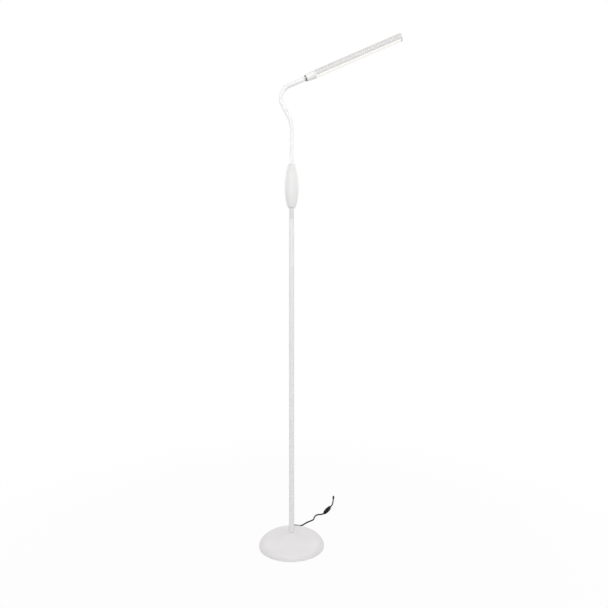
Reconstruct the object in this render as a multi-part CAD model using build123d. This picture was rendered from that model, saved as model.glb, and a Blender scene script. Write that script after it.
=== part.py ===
from build123d import *
import math
import os

# Gooseneck reading floor lamp, in millimetres.
# Origin: centre of the base pad's underside, on the floor. +Z is up, +X is the side the head reaches to,
# and the mains lead leaves the back of the base along +Y.

# ---- clearances ----
FACE_GAP = 0.3          # between flat faces of pieces that move against each other
PIN_CLEARANCE = 0.05    # radial, pin in its bush
BALL_CLEARANCE = 0.1    # radial, neck ball in its socket
SLIP = 0.1              # radial, fixed piece slipped into another
THREAD_GAP = 0.05       # radial, between a thread and its nut

# ---- base ----
BASE_RADIUS = 100.5
BASE_HEIGHT = 44.5
BASE_EDGE = 2.5         # height of the cover's upright rim, where the dome starts
COVER_WALL = 2.5
COVER_FOOT = 1.0        # the cover's rim stops this far above the floor
COVER_PAD_RADIUS = 16.0  # flat boss under the top of the cover
COVER_PAD_DEPTH = 4.0   # from the top of the dome down to that boss's flat face
PAD_THICKNESS = 2.5
PAD_INSET = 4.5         # from the cover's outside to the pad's edge
PLATE_THICKNESS = 1.5
WEIGHT_INSET = 12.5     # from the cover's outside to the weight's edge
WEIGHT_RIM = 11.0       # height of the weight at its outer edge
PLATE_SCREW_CIRCLE = 60.0
PLATE_SCREW_COUNT = 3
PLATE_SCREW_RADIUS = 2.0
PLATE_SCREW_HEAD_RADIUS = 3.8
PLATE_SCREW_HEAD = 1.8
PLATE_SCREW_LENGTH = 8.0
NUT_POCKET_RADIUS = 14.0
NUT_POCKET_TOP = 25.0   # height of the pocket's ceiling above the floor

# ---- hollow threaded tube that clamps pole, cover and weight together ----
NIPPLE_RADIUS = 5.0
NIPPLE_BORE = 3.0
NIPPLE_IN_PLUG = 18.0
NIPPLE_BELOW_NUT = 1.7
NUT_ACROSS_FLATS = 17.0
NUT_THICKNESS = 5.0
WASHER_RADIUS = 12.0
WASHER_THICKNESS = 1.8

# ---- pole ----
POLE_RADIUS = 8.0
POLE_WALL = 1.0
POLE_LENGTH = 969.0
POLE_TUBE_COUNT = 2
FOOT_PLUG_LENGTH = 25.0
JOINER_LENGTH = 60.0
JOINER_WALL = 1.5
POLE_EDGE_BREAK = 0.3
COUPLER_RADIUS = 7.5
COUPLER_BORE = 5.5
COUPLER_SHOWN = 36.5
COUPLER_IN_POLE = 30.0
COUPLER_IN_GRIP = 12.0

# ---- grip ----
GRIP_LENGTH = 134.5
GRIP_RADIUS = 22.0
GRIP_HALF_ELLIPSE = 77.3  # the barrel is a cut ellipse, and this is its long half axis
GRIP_WALL = 2.4
GRIP_TOP_COLLAR = 4.5
GRIP_BOTTOM_COLLAR = 3.5
GRIP_TOP_COLLAR_RADIUS = 11.5
GRIP_BOTTOM_COLLAR_RADIUS = 11.6
COLLAR_ROUND = 0.8
CORE_RADIUS = 8.5
CORE_BORE = 6.9
CORE_STEM_LENGTH = 24.0   # thinner lower end, screwed into the coupler
CORE_STEM_BORE = 3.6
CORE_FLOOR = 3.0
BUSH_LENGTH = 29.0        # upper stretch of the core that guides the neck's spigot
RIB_THICKNESS = 2.0
RIB_COUNT = 3
GRIP_BOSS_RADIUS = 3.4
GRIP_SCREW_X = 12.4
GRIP_SCREW_SPREAD = 33.0  # from the barrel's middle to each pair of screws
GRIP_SCREW_RADIUS = 1.3
GRIP_SCREW_HEAD_RADIUS = 2.6
GRIP_SCREW_HEAD = 1.8
GRIP_SCREW_RECESS = 4.0   # from the mid plane to the seat under the screw's head
GRIP_SCREW_LENGTH = 9.0

# ---- gooseneck ----
NECK_RADIUS = 7.0
NECK_BORE = 2.6
NECK_RISE = 131.0         # upright run, up to the first corner of the neck's route
NECK_LEAN = 27.5          # degrees that the neck leans back from upright
NECK_LEAN_RUN = 107.7     # between the two corners of the route
HEAD_RISE = 23.4          # degrees that the head and the neck's end point above level
NECK_END_RUN = 101.8      # second corner to the middle of the swivel ring
LOWER_BEND_RADIUS = 80.0
UPPER_BEND_RADIUS = 42.5
LOWER_HINGES = 4
LOWER_FIRST = 24.0        # from the neck's root, along the neck, to the first hinge
LOWER_PITCH = 42.0
UPPER_HINGES = 7
UPPER_FIRST = 178.0
UPPER_PITCH = 19.0
SOCKET_LIP = 1.6          # from the ball's middle to the socket's rim
SPIGOT_RADIUS = 5.0 - PIN_CLEARANCE
SPIGOT_IN_LINK = 12.0
SPIGOT_BELOW_BUSH = 4.0
CLIP_THICKNESS = 1.0
CLIP_WIDTH = 1.6
CLIP_GROOVE = 0.8

# ---- swivel between neck and head ----
RING_RADIUS = 9.4
RING_WIDTH = 4.5
RING_ROUND = 1.2
SWIVEL_PIN_RADIUS = 4.0
SWIVEL_PIN_BORE = 2.2
SWIVEL_IN_LINK = 12.0
JOINT_ROOT_RADIUS = 9.8
JOINT_LENGTH = 19.5
JOINT_BOSS_RADIUS = 5.2
JOINT_BOSS = 7.0
JOINT_NUT_ACROSS_FLATS = 12.0
JOINT_NUT_THICKNESS = 3.5
SWIVEL_PIN_PAST_BOSS = 2.2

# ---- head ----
HEAD_RADIUS = 12.2
HEAD_WALL = 1.4
HEAD_LENGTH = 301.0       # both end caps included
REAR_CAP_LENGTH = 10.0
FRONT_CAP_LENGTH = 6.0
CAP_FLOOR = 3.0
CAP_SPIGOT = 4.0
CAP_SPIGOT_WALL = 1.3
CAP_ROUND = 1.1
DIFFUSER_TOP = -7.8       # the opaque housing ends this far below the head's axis
DIFFUSER_LIP_HEIGHT = 3.3
DIFFUSER_LIP_THICKNESS = 1.2
LEDGE_THICKNESS = 1.3
LEDGE_INNER = 8.2
CARRIER_THICKNESS = 1.5
CARRIER_TOP = -2.9
BOARD_WIDTH = 12.0
BOARD_THICKNESS = 1.6
CHIP_SIZE = 2.8
CHIP_HEIGHT = 0.8
CHIP_COUNT = 30
CHIP_MARGIN = 7.0         # from the board's end to the middle of the first chip
INNER_END_GAP = 1.0       # from a cap's spigot to what lies along the head
DRIVER_LENGTH = 74.0
DRIVER_WIDTH = 15.0
DRIVER_START = 9.0        # from the rear cap's spigot
TERMINAL_LENGTH = 8.0
TERMINAL_WIDTH = 9.0
TERMINAL_HEIGHT = 7.0
COIL_AT = 22.0            # this and the next two from the driver board's rear end
CAPACITOR_AT = 36.0
DRIVER_CHIP_AT = 56.0
COIL_RADIUS = 5.5
COIL_HEIGHT = 5.0
CAPACITOR_RADIUS = 3.5
CAPACITOR_LENGTH = 12.0
DRIVER_CHIP_LENGTH = 8.0
DRIVER_CHIP_WIDTH = 6.0
DRIVER_CHIP_HEIGHT = 1.6
HOUSING_SCREW_ACROSS = 6.9
HOUSING_SCREW_UP = 6.1
HOUSING_SCREW_RADIUS = 1.05
HOUSING_SCREW_BOSS = 1.9
HOUSING_SCREW_HEAD_RADIUS = 1.7
HOUSING_SCREW_HEAD = 1.2
HOUSING_SCREW_LENGTH = 11.0

# ---- wires and lead ----
WIRE_RADIUS = 1.5
WIRE_BEND = 10.0
LEAD_RADIUS = 2.25
LEAD_LEAST_BENDS = 3      # a limp lead bends no tighter than this many diameters
GLAND_HEIGHT = 9.0
GLAND_LENGTH = 11.0       # from the cover's edge to the gland's tip
GLAND_ROOT_RADIUS = 4.4
GLAND_TIP_RADIUS = 2.9
GLAND_NECK_RADIUS = 3.4
GLAND_COLLAR_RADIUS = 4.6
GLAND_COLLAR = 2.5
WIRE_CHANNEL = 7.0

# ---- switch on the lead ----
SWITCH_LENGTH = 56.0
SWITCH_WIDTH = 12.4
SWITCH_END_WIDTH = 6.4
SWITCH_HEIGHT = 10.0
SWITCH_WALL = 1.3
SWITCH_LIFT = 0.2
SWITCH_HEADING = 65.0     # degrees from +X, across the floor
SWITCH_ROUND = 2.0
SWITCH_SCREW_AT = 17.5
SWITCH_POST_RADIUS = 2.3
SWITCH_SCREW_RADIUS = 1.0
SWITCH_SCREW_HEAD_RADIUS = 1.8
SWITCH_SCREW_HEAD = 1.1
BUTTON_LENGTH = 13.0
BUTTON_WIDTH = 6.4
BUTTON_TRAVEL = 1.2
BUTTON_LEFT_PROUD = 0.4   # what still stands above the shell when the button is pressed
BUTTON_FLANGE = 1.0
BUTTON_FLANGE_EDGE = 1.0
BUTTON_STEM_RADIUS = 1.5
BUTTON_STEM = 3.4
PUSH_SWITCH_LENGTH = 11.0
PUSH_SWITCH_WIDTH = 7.0

# ---- connector at the lead's end ----
CONNECTOR_RADIUS = 3.75
CONNECTOR_LENGTH = 20.0
CONNECTOR_TAPER = 8.0
CONNECTOR_NECK_RADIUS = 2.85
CONNECTOR_HEADING = 85.0
BARREL_RADIUS = 1.9
BARREL_BORE = 0.7
BARREL_LENGTH = 9.5

# ---- heights and radii that follow ----
PLATE_BOTTOM = PAD_THICKNESS
WEIGHT_BOTTOM = PLATE_BOTTOM + PLATE_THICKNESS
WEIGHT_TOP = BASE_HEIGHT - COVER_PAD_DEPTH
WEIGHT_RADIUS = BASE_RADIUS - WEIGHT_INSET
DOME_RISE = BASE_HEIGHT - BASE_EDGE
WASHER_BOTTOM = NUT_POCKET_TOP - WASHER_THICKNESS
NUT_BOTTOM = WASHER_BOTTOM - NUT_THICKNESS
NIPPLE_BOTTOM = NUT_BOTTOM - NIPPLE_BELOW_NUT
POLE_TOP = BASE_HEIGHT + POLE_LENGTH
POLE_BORE = POLE_RADIUS - POLE_WALL
GRIP_BOTTOM = POLE_TOP + COUPLER_SHOWN
GRIP_TOP = GRIP_BOTTOM + GRIP_LENGTH
GRIP_MIDDLE = GRIP_BOTTOM + GRIP_LENGTH / 2
SHELL_BOTTOM = GRIP_BOTTOM + GRIP_BOTTOM_COLLAR
SHELL_TOP = GRIP_TOP - GRIP_TOP_COLLAR
COUPLER_TOP = GRIP_BOTTOM + COUPLER_IN_GRIP
BUSH_BOTTOM = GRIP_TOP - BUSH_LENGTH
SPIGOT_BOTTOM = BUSH_BOTTOM - SPIGOT_BELOW_BUSH
NECK_ROOT = GRIP_TOP + FACE_GAP
HEAD_INNER = HEAD_RADIUS - HEAD_WALL

# Distances along the head's axis, counted from the middle of the swivel ring.
RING_FRONT = RING_WIDTH / 2
JOINT_BACK = RING_FRONT + FACE_GAP
CAP_BACK = JOINT_BACK + JOINT_LENGTH
HOUSING_BACK = CAP_BACK + REAR_CAP_LENGTH
HEAD_TIP = CAP_BACK + HEAD_LENGTH
HOUSING_FRONT = HEAD_TIP - FRONT_CAP_LENGTH
INNER_BACK = HOUSING_BACK + CAP_SPIGOT + INNER_END_GAP
INNER_FRONT = HOUSING_FRONT - CAP_SPIGOT - INNER_END_GAP
JOINT_BOSS_END = CAP_BACK + JOINT_BOSS


def turned(*edges):
    """A solid turned about the Z axis from a closed outline drawn in the XZ plane."""
    return revolve(make_face(edges), axis=Axis.Z)


def turned_outline(points):
    """A solid turned about the Z axis from (radius, height) corners."""
    corners = [Vector(radius, 0, height) for radius, height in points]
    return revolve(make_face(Polyline(*corners, close=True).edges()), axis=Axis.Z)


def rod(radius, bottom, top):
    """An upright cylinder between two heights."""
    return Pos(0, 0, bottom) * Cylinder(radius, top - bottom, align=(Align.CENTER, Align.CENTER, Align.MIN))


def tube(outer, inner, bottom, top):
    """An upright tube between two heights."""
    margin = 1.0
    return rod(outer, bottom, top) - rod(inner, bottom - margin, top + margin)


def upright_cone(bottom_radius, top_radius, height):
    return Cone(bottom_radius, top_radius, height, align=(Align.CENTER, Align.CENTER, Align.MIN))


def outer_rims(solid, least_radius):
    """The circular edges of a turned solid that are wider than a given radius."""
    return solid.edges().filter_by(GeomType.CIRCLE).filter_by(lambda edge: edge.radius > least_radius)


def hexagon(across_flats, bottom, top):
    """An upright hexagonal bar between two heights."""
    corner_radius = across_flats / 2 / math.cos(math.radians(30))
    return Pos(0, 0, bottom) * extrude(RegularPolygon(corner_radius, 6), top - bottom)


def block(x, y, z):
    """A box between two limits on each axis."""
    size = (x[1] - x[0], y[1] - y[0], z[1] - z[0])
    return Pos(x[0], y[0], z[0]) * Box(*size, align=(Align.MIN, Align.MIN, Align.MIN))


def along_x(solid):
    """Lays an upright solid down so that its height runs along +X."""
    return Rot(0, 90, 0) * solid


# ---- base ----

def dome(radius, rise, bottom):
    """A solid half ellipsoid on an upright rim."""
    top = BASE_EDGE + rise
    curve = EllipticalCenterArc((0, 0), radius, rise, 0, arc_size=90)
    curve = Pos(0, 0, BASE_EDGE) * (Rot(90, 0, 0) * curve)
    axis_line = Line((0, 0, top), (0, 0, bottom))
    foot = Line((0, 0, bottom), (radius, 0, bottom))
    rim = Line((radius, 0, bottom), (radius, 0, BASE_EDGE))
    return turned(foot, rim, curve, axis_line)


def cover_cavity():
    below = COVER_FOOT - 1.0
    cavity = dome(BASE_RADIUS - COVER_WALL, DOME_RISE - COVER_WALL, below)
    return cavity - rod(COVER_PAD_RADIUS, WEIGHT_TOP, BASE_HEIGHT)


def base_cover():
    cover = dome(BASE_RADIUS, DOME_RISE, COVER_FOOT) - cover_cavity()
    cover -= rod(NIPPLE_RADIUS + SLIP, 0, BASE_HEIGHT + 1)
    return cover - gland_bar(GLAND_NECK_RADIUS + SLIP, 0, BASE_RADIUS + 1)


def screw_places(circle, count):
    return [Rot(0, 0, 90 + 360 / count * (k + 0.5)) * Pos(circle, 0, 0) for k in range(count)]


def base_pad():
    pad = rod(BASE_RADIUS - PAD_INSET, 0, PAD_THICKNESS)
    for place in screw_places(PLATE_SCREW_CIRCLE, PLATE_SCREW_COUNT):
        pad -= place * rod(PLATE_SCREW_HEAD_RADIUS + FACE_GAP, -1, PAD_THICKNESS + 1)
    return pad


def base_plate():
    radius = BASE_RADIUS - COVER_WALL - 4 * SLIP
    plate = rod(radius, PLATE_BOTTOM, WEIGHT_BOTTOM)
    for place in screw_places(PLATE_SCREW_CIRCLE, PLATE_SCREW_COUNT):
        plate -= place * rod(PLATE_SCREW_RADIUS + SLIP, 0, WEIGHT_BOTTOM + 1)
    return plate


def base_weight():
    outline = [
        (NIPPLE_RADIUS + SLIP, WEIGHT_BOTTOM),
        (WEIGHT_RADIUS, WEIGHT_BOTTOM),
        (WEIGHT_RADIUS, WEIGHT_BOTTOM + WEIGHT_RIM),
        (COVER_PAD_RADIUS * 3, WEIGHT_BOTTOM + WEIGHT_RIM * 2),
        (COVER_PAD_RADIUS + SLIP, WEIGHT_TOP - COVER_PAD_DEPTH),
        (COVER_PAD_RADIUS - SLIP, WEIGHT_TOP),
        (NIPPLE_RADIUS + SLIP, WEIGHT_TOP),
    ]
    weight = turned_outline(outline)
    weight -= rod(NUT_POCKET_RADIUS, 0, NUT_POCKET_TOP)
    channel_top = GLAND_HEIGHT + WIRE_CHANNEL / 2
    weight -= block((-WIRE_CHANNEL / 2, WIRE_CHANNEL / 2), (0, BASE_RADIUS), (0, channel_top))
    for place in screw_places(PLATE_SCREW_CIRCLE, PLATE_SCREW_COUNT):
        weight -= place * rod(PLATE_SCREW_RADIUS + THREAD_GAP, 0, WEIGHT_BOTTOM + PLATE_SCREW_LENGTH)
    return weight


def plate_screws():
    head = rod(PLATE_SCREW_HEAD_RADIUS, PLATE_BOTTOM - PLATE_SCREW_HEAD, PLATE_BOTTOM)
    shank_top = PLATE_BOTTOM + PLATE_SCREW_LENGTH
    screw = head + rod(PLATE_SCREW_RADIUS, PLATE_BOTTOM - PLATE_SCREW_HEAD / 2, shank_top)
    return [place * screw for place in screw_places(PLATE_SCREW_CIRCLE, PLATE_SCREW_COUNT)]


def threaded_nipple():
    return tube(NIPPLE_RADIUS, NIPPLE_BORE, NIPPLE_BOTTOM, BASE_HEIGHT + NIPPLE_IN_PLUG)


def nipple_nut():
    nut = hexagon(NUT_ACROSS_FLATS, NUT_BOTTOM, WASHER_BOTTOM)
    return nut - rod(NIPPLE_RADIUS + THREAD_GAP, 0, WASHER_BOTTOM + 1)


def nipple_washer():
    return tube(WASHER_RADIUS, NIPPLE_RADIUS + SLIP, WASHER_BOTTOM, NUT_POCKET_TOP)


def gland_bar(radius, start, end):
    """A bar along +Y at the gland's height."""
    return Pos(0, 0, GLAND_HEIGHT) * (Rot(-90, 0, 0) * rod(radius, start, end))


def gland_seat():
    """Where the gland's collar meets the inside of the cover's wall."""
    up = (GLAND_HEIGHT + GLAND_COLLAR_RADIUS - BASE_EDGE) / (DOME_RISE - COVER_WALL)
    return (BASE_RADIUS - COVER_WALL) * math.sqrt(1 - up ** 2) - SLIP


def cord_gland():
    """A tapered strain relief that hugs the dome, with a neck through its wall and a collar inside."""
    seat = gland_seat()
    outside = BASE_RADIUS + SLIP
    relief = upright_cone(GLAND_ROOT_RADIUS, GLAND_TIP_RADIUS, GLAND_LENGTH)
    relief = Pos(0, outside, GLAND_HEIGHT) * (Rot(-90, 0, 0) * relief)
    relief += gland_bar(GLAND_ROOT_RADIUS, seat, outside)
    relief -= dome(BASE_RADIUS + SLIP, DOME_RISE + SLIP, 0)
    relief += gland_bar(GLAND_NECK_RADIUS, seat, outside)
    return relief + gland_bar(GLAND_COLLAR_RADIUS, seat - GLAND_COLLAR, seat)


# ---- pole ----

def pole_foot_plug():
    return tube(POLE_BORE - SLIP, NIPPLE_RADIUS + THREAD_GAP, BASE_HEIGHT, BASE_HEIGHT + FOOT_PLUG_LENGTH)


def pole_section(index):
    length = POLE_LENGTH / POLE_TUBE_COUNT
    bottom = BASE_HEIGHT + index * length
    section = tube(POLE_RADIUS, POLE_BORE, bottom, bottom + length)
    return chamfer(outer_rims(section, POLE_BORE + POLE_WALL / 2), POLE_EDGE_BREAK)


def pole_joiner():
    middle = BASE_HEIGHT + POLE_LENGTH / POLE_TUBE_COUNT
    outer = POLE_BORE - SLIP
    return tube(outer, outer - JOINER_WALL, middle - JOINER_LENGTH / 2, middle + JOINER_LENGTH / 2)


def pole_top_coupler():
    coupler = rod(COUPLER_RADIUS, POLE_TOP, COUPLER_TOP)
    coupler += rod(POLE_BORE - SLIP, POLE_TOP - COUPLER_IN_POLE, POLE_TOP)
    return coupler - rod(COUPLER_BORE, POLE_TOP - COUPLER_IN_POLE - 1, COUPLER_TOP + 1)


def inner_wire():
    start = Vector(0, gland_seat() - GLAND_COLLAR, GLAND_HEIGHT)
    corner = Vector(0, 0, GLAND_HEIGHT)
    end = Vector(0, 0, SPIGOT_BOTTOM - 2.0)
    path = FilletPolyline(start, corner, end, radius=WIRE_BEND)
    return sweep(Plane(start, z_dir=(0, -1, 0)) * Circle(WIRE_RADIUS), path=path)


# ---- grip ----

def barrel(shrink):
    """The grip's cut ellipsoid, smaller all round by shrink."""
    half = GRIP_HALF_ELLIPSE - shrink
    curve = EllipticalCenterArc((0, 0), GRIP_RADIUS - shrink, half, -90, arc_size=180)
    curve = Pos(0, 0, GRIP_MIDDLE) * (Rot(90, 0, 0) * curve)
    axis_line = Line((0, 0, GRIP_MIDDLE + half), (0, 0, GRIP_MIDDLE - half))
    body = turned(curve, axis_line)
    wide = GRIP_RADIUS * 2
    return body & block((-wide, wide), (-wide, wide), (SHELL_BOTTOM, SHELL_TOP))


def grip_screw_places():
    places = []
    for side in (-1, 1):
        for level in (-1, 1):
            x = side * GRIP_SCREW_X
            z = GRIP_MIDDLE + level * GRIP_SCREW_SPREAD
            places.append(Pos(x, 0, z))
    return places


def grip_bar(radius, start, end):
    """A bar along +Y."""
    return Rot(-90, 0, 0) * rod(radius, start, end)


def grip_barrel():
    """Both grip shells in one piece, with their ribs and screw posts."""
    inside = barrel(GRIP_WALL)
    hollow = inside
    span = SHELL_TOP - SHELL_BOTTOM
    for k in range(RIB_COUNT):
        middle = SHELL_BOTTOM + span * (k + 0.5) / RIB_COUNT
        hollow -= rod(GRIP_RADIUS, middle - RIB_THICKNESS / 2, middle + RIB_THICKNESS / 2)
    for place in grip_screw_places():
        hollow -= place * grip_bar(GRIP_BOSS_RADIUS, -GRIP_RADIUS, GRIP_RADIUS)
    shells = barrel(0) - hollow
    return shells - rod(CORE_RADIUS + SLIP, SHELL_BOTTOM - 1, SHELL_TOP + 1)


def grip_front_shell():
    wide = GRIP_RADIUS * 2
    shell = grip_barrel() & block((-wide, wide), (-wide, 0), (SHELL_BOTTOM, SHELL_TOP))
    hole_end = GRIP_SCREW_RECESS - GRIP_SCREW_LENGTH - FACE_GAP
    for place in grip_screw_places():
        shell -= place * grip_bar(GRIP_SCREW_RADIUS + THREAD_GAP, hole_end, 1)
    return shell


def grip_rear_shell():
    wide = GRIP_RADIUS * 2
    shell = grip_barrel() & block((-wide, wide), (0, wide), (SHELL_BOTTOM, SHELL_TOP))
    for place in grip_screw_places():
        shell -= place * grip_bar(GRIP_SCREW_RADIUS + SLIP, -1, GRIP_RADIUS)
        shell -= place * grip_bar(GRIP_SCREW_HEAD_RADIUS + SLIP, GRIP_SCREW_RECESS, GRIP_RADIUS)
    return shell


def grip_screws():
    head = grip_bar(GRIP_SCREW_HEAD_RADIUS, GRIP_SCREW_RECESS, GRIP_SCREW_RECESS + GRIP_SCREW_HEAD)
    shank = grip_bar(GRIP_SCREW_RADIUS, GRIP_SCREW_RECESS - GRIP_SCREW_LENGTH, GRIP_SCREW_RECESS)
    screw = head + shank
    return [place * screw for place in grip_screw_places()]


def grip_core():
    floor_top = COUPLER_TOP + CORE_FLOOR
    core = rod(COUPLER_BORE - THREAD_GAP, COUPLER_TOP - CORE_STEM_LENGTH, COUPLER_TOP)
    core += rod(CORE_RADIUS, COUPLER_TOP, GRIP_TOP)
    core -= rod(CORE_STEM_BORE, COUPLER_TOP - CORE_STEM_LENGTH - 1, floor_top)
    core -= rod(CORE_BORE, floor_top, BUSH_BOTTOM)
    return core - rod(SPIGOT_RADIUS + PIN_CLEARANCE, BUSH_BOTTOM, GRIP_TOP + 1)


def collar(outer, inner, bottom, top):
    ring = tube(outer, inner, bottom, top)
    return fillet(outer_rims(ring, (outer + inner) / 2), COLLAR_ROUND)


def grip_top_collar():
    return collar(GRIP_TOP_COLLAR_RADIUS, CORE_RADIUS + SLIP, SHELL_TOP, GRIP_TOP)


def grip_bottom_collar():
    return collar(GRIP_BOTTOM_COLLAR_RADIUS, COUPLER_RADIUS + SLIP, GRIP_BOTTOM, SHELL_BOTTOM)


# ---- gooseneck ----

def neck_route():
    """The neck's centre line, from its root to the middle of the swivel ring."""
    lean = math.radians(NECK_LEAN)
    rise = math.radians(HEAD_RISE)
    root = Vector(0, 0, NECK_ROOT)
    first = root + Vector(0, 0, NECK_RISE)
    second = first + Vector(-math.sin(lean), 0, math.cos(lean)) * NECK_LEAN_RUN
    end = second + Vector(math.cos(rise), 0, math.sin(rise)) * NECK_END_RUN
    return FilletPolyline(root, first, second, end, radius=[LOWER_BEND_RADIUS, UPPER_BEND_RADIUS])


NECK = neck_route()
NECK_END = NECK.length - RING_WIDTH / 2
LOWER_HINGE_PLACES = [LOWER_FIRST + LOWER_PITCH * k for k in range(LOWER_HINGES)]
UPPER_HINGE_PLACES = [UPPER_FIRST + UPPER_PITCH * k for k in range(UPPER_HINGES)]
HINGE_PLACES = LOWER_HINGE_PLACES + UPPER_HINGE_PLACES


def neck_point(distance):
    return NECK.position_at(distance, position_mode=PositionMode.LENGTH)


def neck_plane(distance):
    """A plane across the neck, facing along it."""
    tangent = NECK.tangent_at(distance, position_mode=PositionMode.LENGTH)
    return Plane(neck_point(distance), x_dir=(0, 1, 0), z_dir=tangent)


def neck_piece(radius, start, end):
    """A round bar that follows the neck between two distances along it."""
    path = NECK.trim(start / NECK.length, end / NECK.length)
    return sweep(neck_plane(start) * Circle(radius), path=path)


def ball(radius, distance):
    return Pos(neck_point(distance)) * Sphere(radius)


def neck_link(index):
    """One link: a socket at its lower end, a stretch of tube, and a ball at its upper end."""
    first = index == 0
    last = index == len(HINGE_PLACES)
    start = 0 if first else HINGE_PLACES[index - 1]
    end = NECK_END if last else HINGE_PLACES[index]
    link = neck_piece(NECK_RADIUS, start, end)
    if not last:
        link += ball(NECK_RADIUS, end)
    link -= neck_piece(NECK_BORE, start, end)
    if not first:
        link -= ball(NECK_RADIUS + BALL_CLEARANCE, start)
        lip = neck_plane(start) * Cylinder(NECK_RADIUS * 2, SOCKET_LIP * 2)
        link -= lip
    if not last:
        above = Cylinder(NECK_BORE, NECK_RADIUS * 2, align=(Align.CENTER, Align.CENTER, Align.MIN))
        link -= neck_plane(end) * above
    if first:
        link -= rod(SPIGOT_RADIUS, NECK_ROOT - 1, NECK_ROOT + SPIGOT_IN_LINK)
    if last:
        pocket = Cylinder(SWIVEL_PIN_RADIUS, SWIVEL_IN_LINK, align=(Align.CENTER, Align.CENTER, Align.MAX))
        link -= neck_plane(NECK_END) * pocket
    return link


def grooved_pin(radius, bore, bottom, top, groove_bottom):
    """A hollow pin with a groove for its retaining clip near one end."""
    pin = tube(radius, bore, bottom, top)
    groove = tube(radius + 1, radius - CLIP_GROOVE, groove_bottom, groove_bottom + CLIP_THICKNESS + SLIP)
    return pin - groove


def clip(radius, bottom):
    """An open retaining ring that sits in a pin's groove."""
    inner = radius - CLIP_GROOVE + SLIP / 2
    ring = tube(radius + CLIP_WIDTH, inner, bottom, bottom + CLIP_THICKNESS)
    slot = inner * 0.6
    return ring - block((0, radius * 3), (-slot, slot), (bottom - 1, bottom + CLIP_THICKNESS + 1))


SPIGOT_CLIP_BOTTOM = BUSH_BOTTOM - FACE_GAP - CLIP_THICKNESS
SWIVEL_CLIP_BACK = JOINT_BOSS_END + FACE_GAP


def neck_spigot():
    top = NECK_ROOT + SPIGOT_IN_LINK
    return grooved_pin(SPIGOT_RADIUS, NECK_BORE, SPIGOT_BOTTOM, top, SPIGOT_CLIP_BOTTOM - SLIP / 2)


def spigot_clip():
    return clip(SPIGOT_RADIUS, SPIGOT_CLIP_BOTTOM)


# ---- head, drawn along +X from the middle of the swivel ring, with its light side down ----

def head_plane():
    rise = math.radians(HEAD_RISE)
    forward = Vector(math.cos(rise), 0, math.sin(rise))
    upward = Vector(-math.sin(rise), 0, math.cos(rise))
    return Plane(NECK @ 1, x_dir=forward, z_dir=upward)


HEAD = head_plane()


def head_rod(radius, start, end):
    return along_x(rod(radius, start, end))


def head_tube(outer, inner, start, end):
    return along_x(tube(outer, inner, start, end))


def swivel_ring():
    ring = tube(RING_RADIUS, SWIVEL_PIN_RADIUS + SLIP, -RING_FRONT, RING_FRONT)
    return along_x(fillet(outer_rims(ring, RING_RADIUS - SLIP), RING_ROUND))


def swivel_pin():
    start = -RING_FRONT - SWIVEL_IN_LINK
    end = JOINT_BOSS_END + SWIVEL_PIN_PAST_BOSS
    pin = grooved_pin(SWIVEL_PIN_RADIUS, SWIVEL_PIN_BORE, start, end, SWIVEL_CLIP_BACK - SLIP / 2)
    return along_x(pin)


def swivel_clip():
    return along_x(clip(SWIVEL_PIN_RADIUS, SWIVEL_CLIP_BACK))


def head_joint():
    body = Pos(0, 0, JOINT_BACK) * upright_cone(JOINT_ROOT_RADIUS, HEAD_RADIUS, JOINT_LENGTH)
    body += rod(JOINT_BOSS_RADIUS, CAP_BACK - 1, JOINT_BOSS_END)
    body -= rod(SWIVEL_PIN_RADIUS + PIN_CLEARANCE, 0, JOINT_BOSS_END + 1)
    back_rims = body.edges().filter_by(GeomType.CIRCLE).group_by(Axis.Z)[0]
    return along_x(fillet(back_rims.sort_by(SortBy.RADIUS)[-1], CAP_ROUND))


def joint_nut():
    start = CAP_BACK + CAP_FLOOR
    nut = hexagon(JOINT_NUT_ACROSS_FLATS, start, start + JOINT_NUT_THICKNESS)
    return along_x(nut - rod(JOINT_BOSS_RADIUS + THREAD_GAP, 0, JOINT_BOSS_END + 1))


def housing_screw_bars(radius, start, end):
    bars = []
    for side in (-1, 1):
        bars.append(Pos(0, side * HOUSING_SCREW_ACROSS, HOUSING_SCREW_UP) * head_rod(radius, start, end))
    return bars


def cap_spigot(start, end):
    spigot = head_tube(HEAD_INNER - SLIP, HEAD_INNER - SLIP - CAP_SPIGOT_WALL, start, end)
    for bar in housing_screw_bars(HOUSING_SCREW_BOSS + SLIP, start - 1, end + 1):
        spigot -= bar
    return spigot


def head_rear_cap():
    cap = head_rod(HEAD_RADIUS, CAP_BACK, CAP_BACK + CAP_FLOOR)
    inner = HEAD_INNER - SLIP - CAP_SPIGOT_WALL
    cap += head_tube(HEAD_RADIUS, inner, CAP_BACK + CAP_FLOOR, HOUSING_BACK)
    cap += cap_spigot(HOUSING_BACK, HOUSING_BACK + CAP_SPIGOT)
    cap -= head_rod(JOINT_BOSS_RADIUS + SLIP, CAP_BACK - 1, CAP_BACK + CAP_FLOOR + 1)
    for post in housing_screw_bars(HOUSING_SCREW_BOSS, CAP_BACK, HOUSING_BACK):
        cap += post
    for hole in housing_screw_bars(HOUSING_SCREW_RADIUS + SLIP, CAP_BACK - 1, HOUSING_BACK + 1):
        cap -= hole
    recess_radius = HOUSING_SCREW_HEAD_RADIUS + SLIP
    for recess in housing_screw_bars(recess_radius, CAP_BACK - 1, CAP_BACK + HOUSING_SCREW_HEAD):
        cap -= recess
    return cap


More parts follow.
